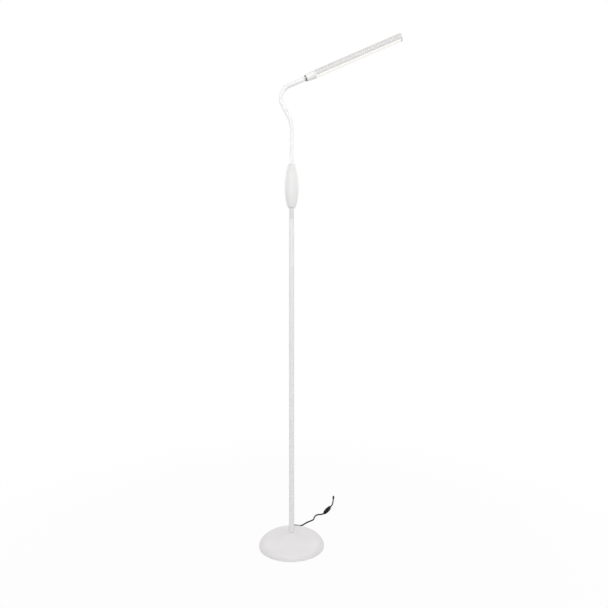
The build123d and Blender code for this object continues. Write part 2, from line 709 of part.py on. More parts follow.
def head_front_cap():
    cap = rod(HEAD_RADIUS, HOUSING_FRONT, HEAD_TIP)
    rim = cap.edges().filter_by(GeomType.CIRCLE).group_by(Axis.Z)[-1]
    cap = along_x(fillet(rim, CAP_ROUND))
    inner = HEAD_INNER - SLIP - CAP_SPIGOT_WALL
    cap -= head_rod(inner, HOUSING_FRONT - 1, HEAD_TIP - CAP_FLOOR)
    cap += cap_spigot(HOUSING_FRONT - CAP_SPIGOT, HOUSING_FRONT)
    for post in housing_screw_bars(HOUSING_SCREW_BOSS, HOUSING_FRONT, HEAD_TIP - CAP_FLOOR):
        cap += post
    for hole in housing_screw_bars(HOUSING_SCREW_RADIUS + SLIP, HOUSING_FRONT - 1, HEAD_TIP + 1):
        cap -= hole
    recess_radius = HOUSING_SCREW_HEAD_RADIUS + SLIP
    for recess in housing_screw_bars(recess_radius, HEAD_TIP - HOUSING_SCREW_HEAD, HEAD_TIP + 1):
        cap -= recess
    return cap


def head_housing():
    shell = head_tube(HEAD_RADIUS, HEAD_INNER, HOUSING_BACK, HOUSING_FRONT)
    for post in housing_screw_bars(HOUSING_SCREW_BOSS, HOUSING_BACK, HOUSING_FRONT):
        shell += post & head_rod(HEAD_INNER + HEAD_WALL / 2, HOUSING_BACK, HOUSING_FRONT)
    for hole in housing_screw_bars(HOUSING_SCREW_RADIUS + THREAD_GAP, HOUSING_BACK - 1, HOUSING_FRONT + 1):
        shell -= hole
    ledge_top = CARRIER_TOP - CARRIER_THICKNESS
    for side in (-1, 1):
        across = sorted((side * LEDGE_INNER, side * HEAD_INNER))
        ledge = block((INNER_BACK, INNER_FRONT), across, (ledge_top - LEDGE_THICKNESS, ledge_top))
        shell += ledge & head_rod(HEAD_INNER + HEAD_WALL / 2, INNER_BACK, INNER_FRONT)
    wide = HEAD_RADIUS * 2
    return shell - block((0, HEAD_TIP), (-wide, wide), (-wide, DIFFUSER_TOP))


def head_diffuser():
    shell = head_tube(HEAD_RADIUS, HEAD_INNER, HOUSING_BACK, HOUSING_FRONT)
    wide = HEAD_RADIUS * 2
    shell &= block((0, HEAD_TIP), (-wide, wide), (-wide, DIFFUSER_TOP - SLIP))
    lip_outer = math.sqrt(HEAD_INNER ** 2 - DIFFUSER_TOP ** 2) - SLIP
    lip_inner = lip_outer - DIFFUSER_LIP_THICKNESS
    lip_top = DIFFUSER_TOP + DIFFUSER_LIP_HEIGHT
    for side in (-1, 1):
        across = sorted((side * lip_inner, side * lip_outer))
        lip = block((INNER_BACK, INNER_FRONT), across, (-HEAD_RADIUS, lip_top))
        shell += lip & head_rod(HEAD_INNER + HEAD_WALL / 2, INNER_BACK, INNER_FRONT)
    return shell


def board_carrier():
    bottom = CARRIER_TOP - CARRIER_THICKNESS
    half = math.sqrt(HEAD_INNER ** 2 - bottom ** 2) - SLIP
    return block((INNER_BACK, INNER_FRONT), (-half, half), (bottom, CARRIER_TOP))


def led_board():
    top = CARRIER_TOP - CARRIER_THICKNESS
    half = BOARD_WIDTH / 2
    return block((INNER_BACK, INNER_FRONT), (-half, half), (top - BOARD_THICKNESS, top))


def led_chips():
    top = CARRIER_TOP - CARRIER_THICKNESS - BOARD_THICKNESS
    first = INNER_BACK + CHIP_MARGIN
    pitch = (INNER_FRONT - CHIP_MARGIN - first) / (CHIP_COUNT - 1)
    half = CHIP_SIZE / 2
    chips = []
    for k in range(CHIP_COUNT):
        x = first + k * pitch
        chips.append(block((x - half, x + half), (-half, half), (top - CHIP_HEIGHT, top)))
    return chips


DRIVER_BACK = HOUSING_BACK + CAP_SPIGOT + DRIVER_START
DRIVER_TOP = CARRIER_TOP + BOARD_THICKNESS


def driver_board():
    half = DRIVER_WIDTH / 2
    return block((DRIVER_BACK, DRIVER_BACK + DRIVER_LENGTH), (-half, half), (CARRIER_TOP, DRIVER_TOP))


def board_block(place, length, width, height):
    start = DRIVER_BACK + place
    return block((start, start + length), (-width / 2, width / 2), (DRIVER_TOP, DRIVER_TOP + height))


def driver_parts():
    """Terminal block, coil, capacitor and chip, standing on the driver board."""
    terminal = board_block(0, TERMINAL_LENGTH, TERMINAL_WIDTH, TERMINAL_HEIGHT)
    coil = Pos(DRIVER_BACK + COIL_AT, 0, 0) * rod(COIL_RADIUS, DRIVER_TOP, DRIVER_TOP + COIL_HEIGHT)
    start = DRIVER_BACK + CAPACITOR_AT
    capacitor = head_rod(CAPACITOR_RADIUS, start, start + CAPACITOR_LENGTH)
    capacitor = Pos(0, 0, DRIVER_TOP + CAPACITOR_RADIUS) * capacitor
    chip = board_block(DRIVER_CHIP_AT, DRIVER_CHIP_LENGTH, DRIVER_CHIP_WIDTH, DRIVER_CHIP_HEIGHT)
    return [terminal, coil, capacitor, chip]


def head_wire():
    rise = DRIVER_TOP + 3.5
    start = Vector(CAP_BACK, 0, 0)
    bend = Vector(JOINT_BOSS_END + SWIVEL_PIN_PAST_BOSS + 2, 0, 0)
    low = Vector(DRIVER_BACK - 4, 0, rise)
    end = Vector(DRIVER_BACK, 0, rise)
    path = FilletPolyline(start, bend, low, end, radius=WIRE_RADIUS * 4)
    return sweep(Plane(start, z_dir=(1, 0, 0)) * Circle(WIRE_RADIUS), path=path)


def cap_screws():
    """Four small screws that hold the end caps to the housing."""
    screws = []
    seat_back = CAP_BACK + HOUSING_SCREW_HEAD
    seat_front = HEAD_TIP - HOUSING_SCREW_HEAD
    backs = housing_screw_bars(HOUSING_SCREW_HEAD_RADIUS, CAP_BACK, seat_back)
    fronts = housing_screw_bars(HOUSING_SCREW_HEAD_RADIUS, seat_front, HEAD_TIP)
    back_shanks = housing_screw_bars(HOUSING_SCREW_RADIUS, seat_back, seat_back + HOUSING_SCREW_LENGTH)
    front_shanks = housing_screw_bars(HOUSING_SCREW_RADIUS, seat_front - HOUSING_SCREW_LENGTH, seat_front)
    for head, shank in zip(backs + fronts, back_shanks + front_shanks):
        screws.append(head + shank)
    return screws


# ---- lead, switch and connector ----

SWITCH_END_RUN = 10.0     # the lead runs straight for this far at each end of the switch
CONNECTOR_RUN = 11.0
LEAD_REST = LEAD_RADIUS + SLIP
SWITCH_AXIS = SWITCH_LIFT + SWITCH_HEIGHT / 2
LEAD_START = Vector(0, BASE_RADIUS + SLIP + GLAND_LENGTH, GLAND_HEIGHT)


def heading(degrees):
    return Vector(math.cos(math.radians(degrees)), math.sin(math.radians(degrees)), 0)


def past_gland(x, y, z):
    """A point at a height above the floor, counted in x and y from the gland's tip."""
    return Vector(x, LEAD_START.Y + y, z)


SWITCH_START = past_gland(111.0, 119.8, SWITCH_AXIS)
SWITCH_END = SWITCH_START + heading(SWITCH_HEADING) * SWITCH_LENGTH
CONNECTOR_START = past_gland(150.9, 252.4, CONNECTOR_RADIUS)

LEAD_TO_SWITCH = [
    LEAD_START,
    past_gland(0.0, 9.0, GLAND_HEIGHT),
    past_gland(4.1, 16.7, 6.2),
    past_gland(12.6, 21.0, LEAD_REST),
    past_gland(24.7, 20.3, LEAD_REST),
    past_gland(34.9, 28.4, LEAD_REST),
    past_gland(41.6, 39.2, LEAD_REST),
    past_gland(51.1, 51.3, LEAD_REST),
    past_gland(62.9, 61.4, LEAD_REST),
    past_gland(72.4, 71.4, LEAD_REST),
    past_gland(74.0, 87.4, 2.8),
    past_gland(79.5, 100.9, 3.8),
    past_gland(88.1, 106.2, 4.9),
    past_gland(98.0, 105.8, 5.3),
    SWITCH_START - heading(SWITCH_HEADING) * SWITCH_END_RUN,
    SWITCH_START,
]
LEAD_TO_CONNECTOR = [
    SWITCH_END,
    SWITCH_END + heading(SWITCH_HEADING) * SWITCH_END_RUN,
    past_gland(144.0, 196.4, 4.0),
    past_gland(147.2, 218.4, 2.8),
    CONNECTOR_START - heading(CONNECTOR_HEADING) * CONNECTOR_RUN,
    CONNECTOR_START,
]


def route_radii(points):
    """The radius of each arc: 0.45 of its shorter run, over the tangent of half the turn."""
    radii = []
    for before, corner, after in zip(points, points[1:], points[2:]):
        arriving = corner - before
        leaving = after - corner
        half_turn = math.radians(arriving.get_angle(leaving) / 2)
        radii.append(0.45 * min(arriving.length, leaving.length) / math.tan(half_turn))
    return radii


def lead(name, points):
    radii = route_radii(points)
    path = FilletPolyline(*points, radius=radii)
    section = Plane(points[0], z_dir=points[1] - points[0]) * Circle(LEAD_RADIUS)
    solid = sweep(section, path=path)
    expected = math.pi * LEAD_RADIUS ** 2 * path.length
    least = 2 * LEAD_RADIUS * LEAD_LEAST_BENDS
    print(name, "radii", [round(radius, 1) for radius in radii], "least allowed", least)
    print(name, "length", round(path.length, 1))
    print(name, "volume", round(solid.volume, 1), "expected", round(expected, 1))
    return solid


def lead_to_switch():
    return lead("lead_to_switch", LEAD_TO_SWITCH)


def lead_to_connector():
    return lead("lead_to_connector", LEAD_TO_CONNECTOR)


SWITCH_MIDDLE = (SWITCH_START + SWITCH_END) * 0.5
SWITCH_FLOOR = Vector(SWITCH_MIDDLE.X, SWITCH_MIDDLE.Y, SWITCH_LIFT)
SWITCH = Plane(SWITCH_FLOOR, x_dir=heading(SWITCH_HEADING), z_dir=(0, 0, 1))


def lens(shrink):
    """The switch's outline seen from above, smaller all round by shrink."""
    half_length = SWITCH_LENGTH / 2 - shrink
    half_end = SWITCH_END_WIDTH / 2 - shrink / 2
    half_width = SWITCH_WIDTH / 2 - shrink
    near = ThreePointArc((-half_length, -half_end), (0, -half_width), (half_length, -half_end))
    front = Line((half_length, -half_end), (half_length, half_end))
    far = ThreePointArc((half_length, half_end), (0, half_width), (-half_length, half_end))
    back = Line((-half_length, half_end), (-half_length, -half_end))
    return make_face([near, front, far, back])


def switch_post_places():
    return [Pos(-SWITCH_SCREW_AT, 0, 0), Pos(SWITCH_SCREW_AT, 0, 0)]


def switch_lower_shell():
    split = SWITCH_HEIGHT / 2
    outer = extrude(lens(0), split)
    outer = fillet(outer.edges().group_by(Axis.Z)[0], SWITCH_ROUND / 2)
    shell = outer - Pos(0, 0, SWITCH_WALL) * extrude(lens(SWITCH_WALL), split)
    for place in switch_post_places():
        shell += place * rod(SWITCH_POST_RADIUS, SWITCH_WALL / 2, split)
        shell -= place * rod(SWITCH_SCREW_RADIUS + SLIP, -1, split + 1)
        shell -= place * rod(SWITCH_SCREW_HEAD_RADIUS + SLIP, -1, SWITCH_SCREW_HEAD)
    return SWITCH * shell


BUTTON_BOTTOM = SWITCH_HEIGHT - SWITCH_WALL - FACE_GAP - BUTTON_FLANGE


def button_outline(grow):
    width = BUTTON_WIDTH + 2 * grow
    return SlotOverall(BUTTON_LENGTH + 2 * grow, width)


def switch_upper_shell():
    split = SWITCH_HEIGHT / 2
    outer = Pos(0, 0, split) * extrude(lens(0), split)
    outer = fillet(outer.edges().group_by(Axis.Z)[-1], SWITCH_ROUND)
    shell = outer - Pos(0, 0, split) * extrude(lens(SWITCH_WALL), split - SWITCH_WALL)
    for place in switch_post_places():
        shell += place * rod(SWITCH_POST_RADIUS, split, SWITCH_HEIGHT - SWITCH_WALL / 2)
        shell -= place * rod(SWITCH_SCREW_RADIUS + THREAD_GAP, split - 1, SWITCH_HEIGHT - SWITCH_WALL)
    shell -= Pos(0, 0, split) * extrude(button_outline(FACE_GAP), SWITCH_HEIGHT)
    return SWITCH * shell


def switch_button():
    """A slot-shaped cap, held in by a flange under the shell, on a round stem."""
    bottom = BUTTON_BOTTOM
    proud = BUTTON_TRAVEL + BUTTON_LEFT_PROUD
    cap = Pos(0, 0, bottom) * extrude(button_outline(0), SWITCH_HEIGHT + proud - bottom)
    cap = fillet(cap.edges().group_by(Axis.Z)[-1], proud / 2)
    cap += Pos(0, 0, bottom) * extrude(button_outline(BUTTON_FLANGE_EDGE), BUTTON_FLANGE)
    return SWITCH * (cap + rod(BUTTON_STEM_RADIUS, bottom - BUTTON_STEM, bottom))


def push_switch():
    """The switch block on the floor of the shell, with the hole that the button's stem goes down."""
    top = BUTTON_BOTTOM - BUTTON_TRAVEL - FACE_GAP
    half_length = PUSH_SWITCH_LENGTH / 2
    half_width = PUSH_SWITCH_WIDTH / 2
    body = block((-half_length, half_length), (-half_width, half_width), (SWITCH_WALL, top))
    deepest = BUTTON_BOTTOM - BUTTON_STEM - BUTTON_TRAVEL - FACE_GAP
    return SWITCH * (body - rod(BUTTON_STEM_RADIUS + PIN_CLEARANCE, deepest, top + 1))


def switch_screws():
    head = rod(SWITCH_SCREW_HEAD_RADIUS, SWITCH_SCREW_HEAD / 4, SWITCH_SCREW_HEAD)
    shank = rod(SWITCH_SCREW_RADIUS, SWITCH_SCREW_HEAD / 2, SWITCH_HEIGHT - SWITCH_WALL - FACE_GAP)
    return [SWITCH * (place * (head + shank)) for place in switch_post_places()]


CONNECTOR = Plane(CONNECTOR_START, x_dir=heading(CONNECTOR_HEADING), z_dir=(0, 0, 1))


def connector_body():
    """A moulded sleeve that narrows towards the lead."""
    sleeve = rod(CONNECTOR_RADIUS, CONNECTOR_TAPER, CONNECTOR_LENGTH)
    taper = upright_cone(CONNECTOR_NECK_RADIUS, CONNECTOR_RADIUS, CONNECTOR_TAPER)
    return CONNECTOR * along_x(sleeve + taper)


def connector_barrel():
    barrel_end = CONNECTOR_LENGTH + BARREL_LENGTH
    return CONNECTOR * head_tube(BARREL_RADIUS, BARREL_BORE, CONNECTOR_LENGTH, barrel_end)


def fixed_pieces():
    return {
        "base_cover": base_cover(),
        "base_weight": base_weight(),
        "base_plate": base_plate(),
        "base_pad": base_pad(),
        "plate_screws": plate_screws(),
        "threaded_nipple": threaded_nipple(),
        "nipple_nut": nipple_nut(),
        "nipple_washer": nipple_washer(),
        "cord_gland": cord_gland(),
        "pole_foot_plug": pole_foot_plug(),
        "pole_lower_tube": pole_section(0),
        "pole_joiner": pole_joiner(),
        "pole_upper_tube": pole_section(1),
        "pole_top_coupler": pole_top_coupler(),
        "inner_wire": inner_wire(),
        "grip_core": grip_core(),
        "grip_front_shell": grip_front_shell(),
        "grip_rear_shell": grip_rear_shell(),
        "grip_screws": grip_screws(),
        "grip_top_collar": grip_top_collar(),
        "grip_bottom_collar": grip_bottom_collar(),
    }


def neck_pieces():
    pieces = {"neck_spigot": neck_spigot(), "spigot_clip": spigot_clip()}
    for index in range(len(HINGE_PLACES) + 1):
        pieces[f"neck_link_{index + 1:02d}"] = neck_link(index)
    return pieces


def head_pieces():
    local = {
        "swivel_ring": swivel_ring(),
        "swivel_pin": swivel_pin(),
        "swivel_clip": swivel_clip(),
        "head_joint": head_joint(),
        "joint_nut": joint_nut(),
        "head_rear_cap": head_rear_cap(),
        "head_housing": head_housing(),
        "head_diffuser": head_diffuser(),
        "board_carrier": board_carrier(),
        "led_board": led_board(),
        "led_chips": led_chips(),
        "driver_board": driver_board(),
        "driver_parts": driver_parts(),
        "head_wire": head_wire(),
        "head_front_cap": head_front_cap(),
        "cap_screws": cap_screws(),
    }
    return {name: place_in_head(shape) for name, shape in local.items()}


def place_in_head(shape):
    if isinstance(shape, list):
        return [HEAD * piece for piece in shape]
    return HEAD * shape


def lead_pieces():
    return {
        "lead_to_switch": lead_to_switch(),
        "switch_lower_shell": switch_lower_shell(),
        "switch_upper_shell": switch_upper_shell(),
        "switch_button": switch_button(),
        "push_switch": push_switch(),
        "switch_screws": switch_screws(),
        "lead_to_connector": lead_to_connector(),
        "connector_body": connector_body(),
        "connector_barrel": connector_barrel(),
    }


def write(name, shape):
    if isinstance(shape, list):
        shape = Compound(children=shape)
    export_step(shape, os.path.join("parts", name + ".step"))


os.makedirs("parts", exist_ok=True)
ALL_PIECES = {**fixed_pieces(), **neck_pieces(), **head_pieces(), **lead_pieces()}
for piece_name, piece_shape in ALL_PIECES.items():
    write(piece_name, piece_shape)
print(len(ALL_PIECES), "nodes, and the head's axis starts at", NECK @ 1)
for hinge_distance in HINGE_PLACES:
    print("hinge", neck_point(hinge_distance))
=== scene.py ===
import math

import bmesh
import bpy
from mathutils import Matrix, Vector


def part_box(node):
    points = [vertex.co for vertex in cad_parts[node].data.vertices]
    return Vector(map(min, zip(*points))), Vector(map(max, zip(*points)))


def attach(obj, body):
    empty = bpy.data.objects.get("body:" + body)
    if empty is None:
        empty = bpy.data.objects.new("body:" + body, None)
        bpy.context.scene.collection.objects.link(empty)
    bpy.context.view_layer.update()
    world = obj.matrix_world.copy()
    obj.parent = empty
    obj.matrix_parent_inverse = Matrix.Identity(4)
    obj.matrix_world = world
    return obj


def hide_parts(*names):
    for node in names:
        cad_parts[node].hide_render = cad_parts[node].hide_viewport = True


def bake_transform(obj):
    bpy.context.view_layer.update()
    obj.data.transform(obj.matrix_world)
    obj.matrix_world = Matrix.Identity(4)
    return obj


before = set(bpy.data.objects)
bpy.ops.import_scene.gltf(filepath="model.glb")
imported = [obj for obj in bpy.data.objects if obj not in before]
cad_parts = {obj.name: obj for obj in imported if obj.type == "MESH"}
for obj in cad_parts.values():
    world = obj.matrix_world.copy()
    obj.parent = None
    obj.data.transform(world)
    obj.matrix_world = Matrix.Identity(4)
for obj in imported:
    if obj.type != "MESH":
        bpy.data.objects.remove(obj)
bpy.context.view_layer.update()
MM = 0.001

# ---- Camera ----
# Stands 1.55 m in front of the lamp at half its height, level and looking straight to the rear,
# with the field of view that the outline of the base and the height of the head give.
PICTURE_SIDE = 608
FOCAL_PIXELS = 499.0
camera_data = bpy.data.cameras.new("camera")
camera_data.sensor_width = 36.0
camera_data.lens = FOCAL_PIXELS / PICTURE_SIDE * camera_data.sensor_width
camera_data.clip_start = 0.05
camera = bpy.data.objects.new("camera", camera_data)
camera.location = (0.0385, -1.55, 0.7509)
camera.rotation_euler = (math.radians(90), 0, 0)
bpy.context.scene.collection.objects.link(camera)
bpy.context.scene.camera = camera
bpy.context.scene.view_settings.view_transform = "Standard"


# ---- Lead ----
# A limp low-voltage lead with a soft black jacket, in two lengths. The first leaves the rear of the base
# through the gland, drops to the floor and wanders to the hand switch; the second ends in the plug.
def place(piece):
    """Puts a new object into the scene."""
    bpy.context.scene.collection.objects.link(piece)
    return piece


def noise_nodes(tree, where, scale, detail, stretch=None):
    """A noise texture read in a piece's own coordinates, in cells per metre."""
    vector = where
    if stretch is not None:
        mapping = tree.nodes.new("ShaderNodeMapping")
        mapping.inputs["Scale"].default_value = stretch
        tree.links.new(where, mapping.inputs["Vector"])
        vector = mapping.outputs["Vector"]
    noise = tree.nodes.new("ShaderNodeTexNoise")
    if isinstance(scale, bpy.types.NodeSocket):
        tree.links.new(scale, noise.inputs["Scale"])
    else:
        noise.inputs["Scale"].default_value = scale
    noise.inputs["Detail"].default_value = detail
    tree.links.new(vector, noise.inputs["Vector"])
    return noise.outputs["Fac"]


def arithmetic(tree, operation, first, second=None, third=None):
    """A math node of sockets and plain numbers."""
    node = tree.nodes.new("ShaderNodeMath")
    node.operation = operation
    for socket, value in zip(node.inputs, (first, second, third)):
        if isinstance(value, bpy.types.NodeSocket):
            tree.links.new(value, socket)
        elif value is not None:
            socket.default_value = value
    return node.outputs[0]


def mixed_colour(tree, share, first, second):
    node = tree.nodes.new("ShaderNodeMix")
    node.data_type = "RGBA"
    for socket, value in zip((node.inputs[0], node.inputs[6], node.inputs[7]), (share, first, second)):
        if isinstance(value, bpy.types.NodeSocket):
            tree.links.new(value, socket)
        else:
            socket.default_value = value
    return node.outputs[2]


def shader_group(name, inputs, outputs):
    """An empty shader node group with the named sockets."""
    group = bpy.data.node_groups.new(name, "ShaderNodeTree")
    for label, kind, value in inputs:
        socket = group.interface.new_socket(label, in_out="INPUT", socket_type=kind)
        socket.default_value = value
    for label, kind in outputs:
        group.interface.new_socket(label, in_out="OUTPUT", socket_type=kind)
    return group, group.nodes.new("NodeGroupInput"), group.nodes.new("NodeGroupOutput")


def moulded_skin_group():
    """Fine grain for the bump, and slow drifts of shade and gloss over the surface."""
    inputs = [
        ("Tone", "NodeSocketColor", (0.8, 0.8, 0.8, 1)),
        ("Low Tone", "NodeSocketColor", (0.7, 0.7, 0.7, 1)),
        ("Grain", "NodeSocketFloat", 1500.0),
        ("Drift", "NodeSocketFloat", 14.0),
        ("Gloss", "NodeSocketFloat", 0.4),
        ("Gloss Spread", "NodeSocketFloat", 0.12),
    ]
    outputs = [("Color", "NodeSocketColor"), ("Roughness", "NodeSocketFloat"), ("Height", "NodeSocketFloat")]
    group, given, result = shader_group("moulded_skin", inputs, outputs)
    where = group.nodes.new("ShaderNodeTexCoord").outputs["Object"]
    grain = noise_nodes(group, where, given.outputs["Grain"], 2.0)
    drift = noise_nodes(group, where, given.outputs["Drift"], 3.0)
    tone = mixed_colour(group, drift, given.outputs["Tone"], given.outputs["Low Tone"])
    swing = arithmetic(group, "SUBTRACT", drift, 0.5)
    spread = arithmetic(group, "MULTIPLY", swing, given.outputs["Gloss Spread"])
    group.links.new(tone, result.inputs["Color"])
    group.links.new(arithmetic(group, "ADD", given.outputs["Gloss"], spread), result.inputs["Roughness"])
    group.links.new(grain, result.inputs["Height"])
    return group


def use_group(tree, group, values):
    node = tree.nodes.new("ShaderNodeGroup")
    node.node_tree = group
    for label, value in values.items():
        if isinstance(value, bpy.types.NodeSocket):
            tree.links.new(value, node.inputs[label])
        else:
            node.inputs[label].default_value = value
    return node


def shade(level):
    return (level, level, level, 1)


MOULDED_SKIN = moulded_skin_group()


def skin_material(name, tone, low_tone, grain, gloss, bump, drift=14.0, gloss_spread=0.12, shine=0.5):
    """A material whose colour, gloss and bump come from the moulded skin group."""
    material = bpy.data.materials.new(name)
    material.use_nodes = True
    tree = material.node_tree
    shader = tree.nodes["Principled BSDF"]
    values = {
        "Tone": tone,
        "Low Tone": low_tone,
        "Grain": grain,
        "Drift": drift,
        "Gloss": gloss,
        "Gloss Spread": gloss_spread,
    }
    skin = use_group(tree, MOULDED_SKIN, values)
    relief = tree.nodes.new("ShaderNodeBump")
    relief.inputs["Distance"].default_value = bump
    relief.inputs["Strength"].default_value = 1.0
    tree.links.new(skin.outputs["Height"], relief.inputs["Height"])
    tree.links.new(skin.outputs["Color"], shader.inputs["Base Color"])
    tree.links.new(skin.outputs["Roughness"], shader.inputs["Roughness"])
    tree.links.new(relief.outputs["Normal"], shader.inputs["Normal"])
    shader.inputs["Specular IOR Level"].default_value = shine
    return material


def clothe(node_name, material):
    """Gives a CAD node its material."""
    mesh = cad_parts[node_name].data
    mesh.materials.clear()
    mesh.materials.append(material)


LEAD_THICKNESS = 4.5 * MM
GLAND_TIP = (0.0, 111.6, 9.0)
LEAD_REST = 2.35
SWITCH_MIDDLE = (122.83, 256.78)
SWITCH_HEADING = math.radians(65)
SWITCH_HALF = 28.0
SWITCH_AXIS = 5.2
STRAIGHT_RUN = 10.0
PLUG_START = (150.9, 364.0, 3.75)
PLUG_HEADING = math.radians(85)
PLUG_RUN = 11.0


def along_switch(distance, height):
    """A point on the switch's middle line, counted from its middle, in millimetres."""
    x = SWITCH_MIDDLE[0] + distance * math.cos(SWITCH_HEADING)
    y = SWITCH_MIDDLE[1] + distance * math.sin(SWITCH_HEADING)
    return (x, y, height)


def before_plug(distance):
    """A point on the plug's axis, in front of it, in millimetres."""
    x, y, z = PLUG_START
    return (x - distance * math.cos(PLUG_HEADING), y - distance * math.sin(PLUG_HEADING), z)


LEAD_ROUTE = [
    GLAND_TIP,
    (0.0, 120.6, 9.4),
    (4.1, 128.3, 7.2),
    (12.6, 132.6, 4.8),
    (24.7, 131.9, 2.8),
    (34.9, 140.0, LEAD_REST),
    (41.6, 150.8, LEAD_REST),
    (51.1, 162.9, LEAD_REST),
    (62.9, 173.0, LEAD_REST),
    (72.4, 183.0, LEAD_REST),
    (74.0, 199.0, 2.8),
    (79.5, 212.5, 3.8),
    (88.1, 217.8, 4.9),
    (98.0, 217.4, 5.3),
    along_switch(-SWITCH_HALF - STRAIGHT_RUN, SWITCH_AXIS),
    along_switch(-SWITCH_HALF, SWITCH_AXIS),
]
TAIL_ROUTE = [
    along_switch(SWITCH_HALF, SWITCH_AXIS),
    along_switch(SWITCH_HALF + STRAIGHT_RUN, SWITCH_AXIS),
    (144.0, 308.0, 4.0),
    (147.2, 330.0, 2.8),
    before_plug(PLUG_RUN),
    PLUG_START,
]


def cord_along(name, route, material):
    """A round cord whose smooth line has the route's points as its control points."""
    curve = bpy.data.curves.new(name, "CURVE")
    curve.dimensions = "3D"
    curve.bevel_depth = LEAD_THICKNESS / 2
    curve.bevel_resolution = 6
    curve.resolution_u = 10
    curve.use_fill_caps = True
    spline = curve.splines.new("NURBS")
    spline.points.add(len(route) - 1)
    for point, (x, y, z) in zip(spline.points, route):
        point.co = (x * MM, y * MM, z * MM, 1)
    spline.order_u = 3
    spline.use_endpoint_u = True
    curve.materials.append(material)
    cord = place(bpy.data.objects.new(name, curve))
    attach(cord, "stand")
    return cord


soft_jacket = skin_material(
    "soft_jacket", shade(0.004), shade(0.007), 2600.0, 0.5, 0.00004, drift=60.0, shine=0.06
)
lead = cord_along("lead", LEAD_ROUTE, soft_jacket)
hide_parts("lead_to_switch")
lead_tail = cord_along("lead_tail", TAIL_ROUTE, soft_jacket)
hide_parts("lead_to_connector")


# ---- Floor, backdrop and light ----
# A plain white sweep under and behind the lamp. The camera sees it close to white with the lamp's own
# soft shadow on it; what the lamp itself receives is a plain even light, stronger from above.
SHADOW_REACH = 0.35
SHADOW_END = 1.6
FLOOR_WHITE = 0.93


def floor_material():
    """Matt white that the camera sees almost as pure white, and further off the lamp as pure white."""
    material = bpy.data.materials.new("floor_white")
    material.use_nodes = True
    tree = material.node_tree
    tree.nodes.remove(tree.nodes["Principled BSDF"])
    matt = tree.nodes.new("ShaderNodeBsdfDiffuse")
    matt.inputs["Color"].default_value = shade(0.8)
    white = tree.nodes.new("ShaderNodeEmission")
    white.inputs["Color"].default_value = shade(1.0)
    seen = tree.nodes.new("ShaderNodeLightPath").outputs
    looked_at = arithmetic(tree, "MAXIMUM", seen["Is Camera Ray"], seen["Is Glossy Ray"])
    looked_at = arithmetic(tree, "MAXIMUM", looked_at, seen["Is Transmission Ray"])
    away = tree.nodes.new("ShaderNodeVectorMath")
    away.operation = "LENGTH"
    tree.links.new(tree.nodes.new("ShaderNodeTexCoord").outputs["Object"], away.inputs[0])
    fade = tree.nodes.new("ShaderNodeMapRange")
    fade.interpolation_type = "SMOOTHSTEP"
    fade.inputs["From Min"].default_value = SHADOW_REACH
    fade.inputs["From Max"].default_value = SHADOW_END
    fade.inputs["To Min"].default_value = FLOOR_WHITE
    tree.links.new(away.outputs["Value"], fade.inputs["Value"])
    mix = tree.nodes.new("ShaderNodeMixShader")
    tree.links.new(arithmetic(tree, "MULTIPLY", looked_at, fade.outputs["Result"]), mix.inputs["Fac"])
    tree.links.new(matt.outputs["BSDF"], mix.inputs[1])
    tree.links.new(white.outputs["Emission"], mix.inputs[2])
    tree.links.new(mix.outputs["Shader"], tree.nodes["Material Output"].inputs["Surface"])
    return material


FLOOR_SIDE = 12.0
bpy.ops.mesh.primitive_plane_add(size=FLOOR_SIDE, location=(0, 0, 0))
floor = bpy.context.object
floor.name = "floor"
floor.data.materials.append(floor_material())

world = bpy.data.worlds.new("studio")
world.use_nodes = True
bpy.context.scene.world = world
sky = world.node_tree
seen = sky.nodes.new("ShaderNodeLightPath").outputs
looked_at = arithmetic(sky, "MAXIMUM", seen["Is Camera Ray"], seen["Is Glossy Ray"])
looked_at = arithmetic(sky, "MAXIMUM", looked_at, seen["Is Transmission Ray"])
AMBIENT = 0.49
sky.links.new(
    arithmetic(sky, "MULTIPLY_ADD", looked_at, 1.0 - AMBIENT, AMBIENT),
    sky.nodes["Background"].inputs["Strength"],
)
sky.nodes["Background"].inputs["Color"].default_value = shade(1.0)


def soft_light(name, location, target, side, watts):
    data = bpy.data.lights.new(name, "AREA")
    data.shape = "SQUARE"
    data.size = side
    data.energy = watts
    lamp = place(bpy.data.objects.new(name, data))
    lamp.location = location
    lamp.rotation_euler = (Vector(target) - Vector(location)).to_track_quat("-Z", "Y").to_euler()
    return lamp


soft_light("light_front", (0.0, -3.2, 1.7), (0, 0, 0.9), 2.0, 18.0)
soft_light("light_front_high", (0.0, -2.2, 2.0), (0, 0, 1.1), 1.4, 13.5)
soft_light("light_left", (-2.4, -1.2, 2.2), (0, 0, 1.2), 1.4, 9.0)
soft_light("light_right", (2.4, -1.2, 2.2), (0, 0, 1.2), 1.4, 12.5)
soft_light("light_rear_left", (-2.0, 1.5, 2.2), (0, 0, 1.2), 1.4, 15.5)
soft_light("light_rear_right", (2.0, 1.5, 2.2), (0, 0, 1.2), 1.4, 15.5)


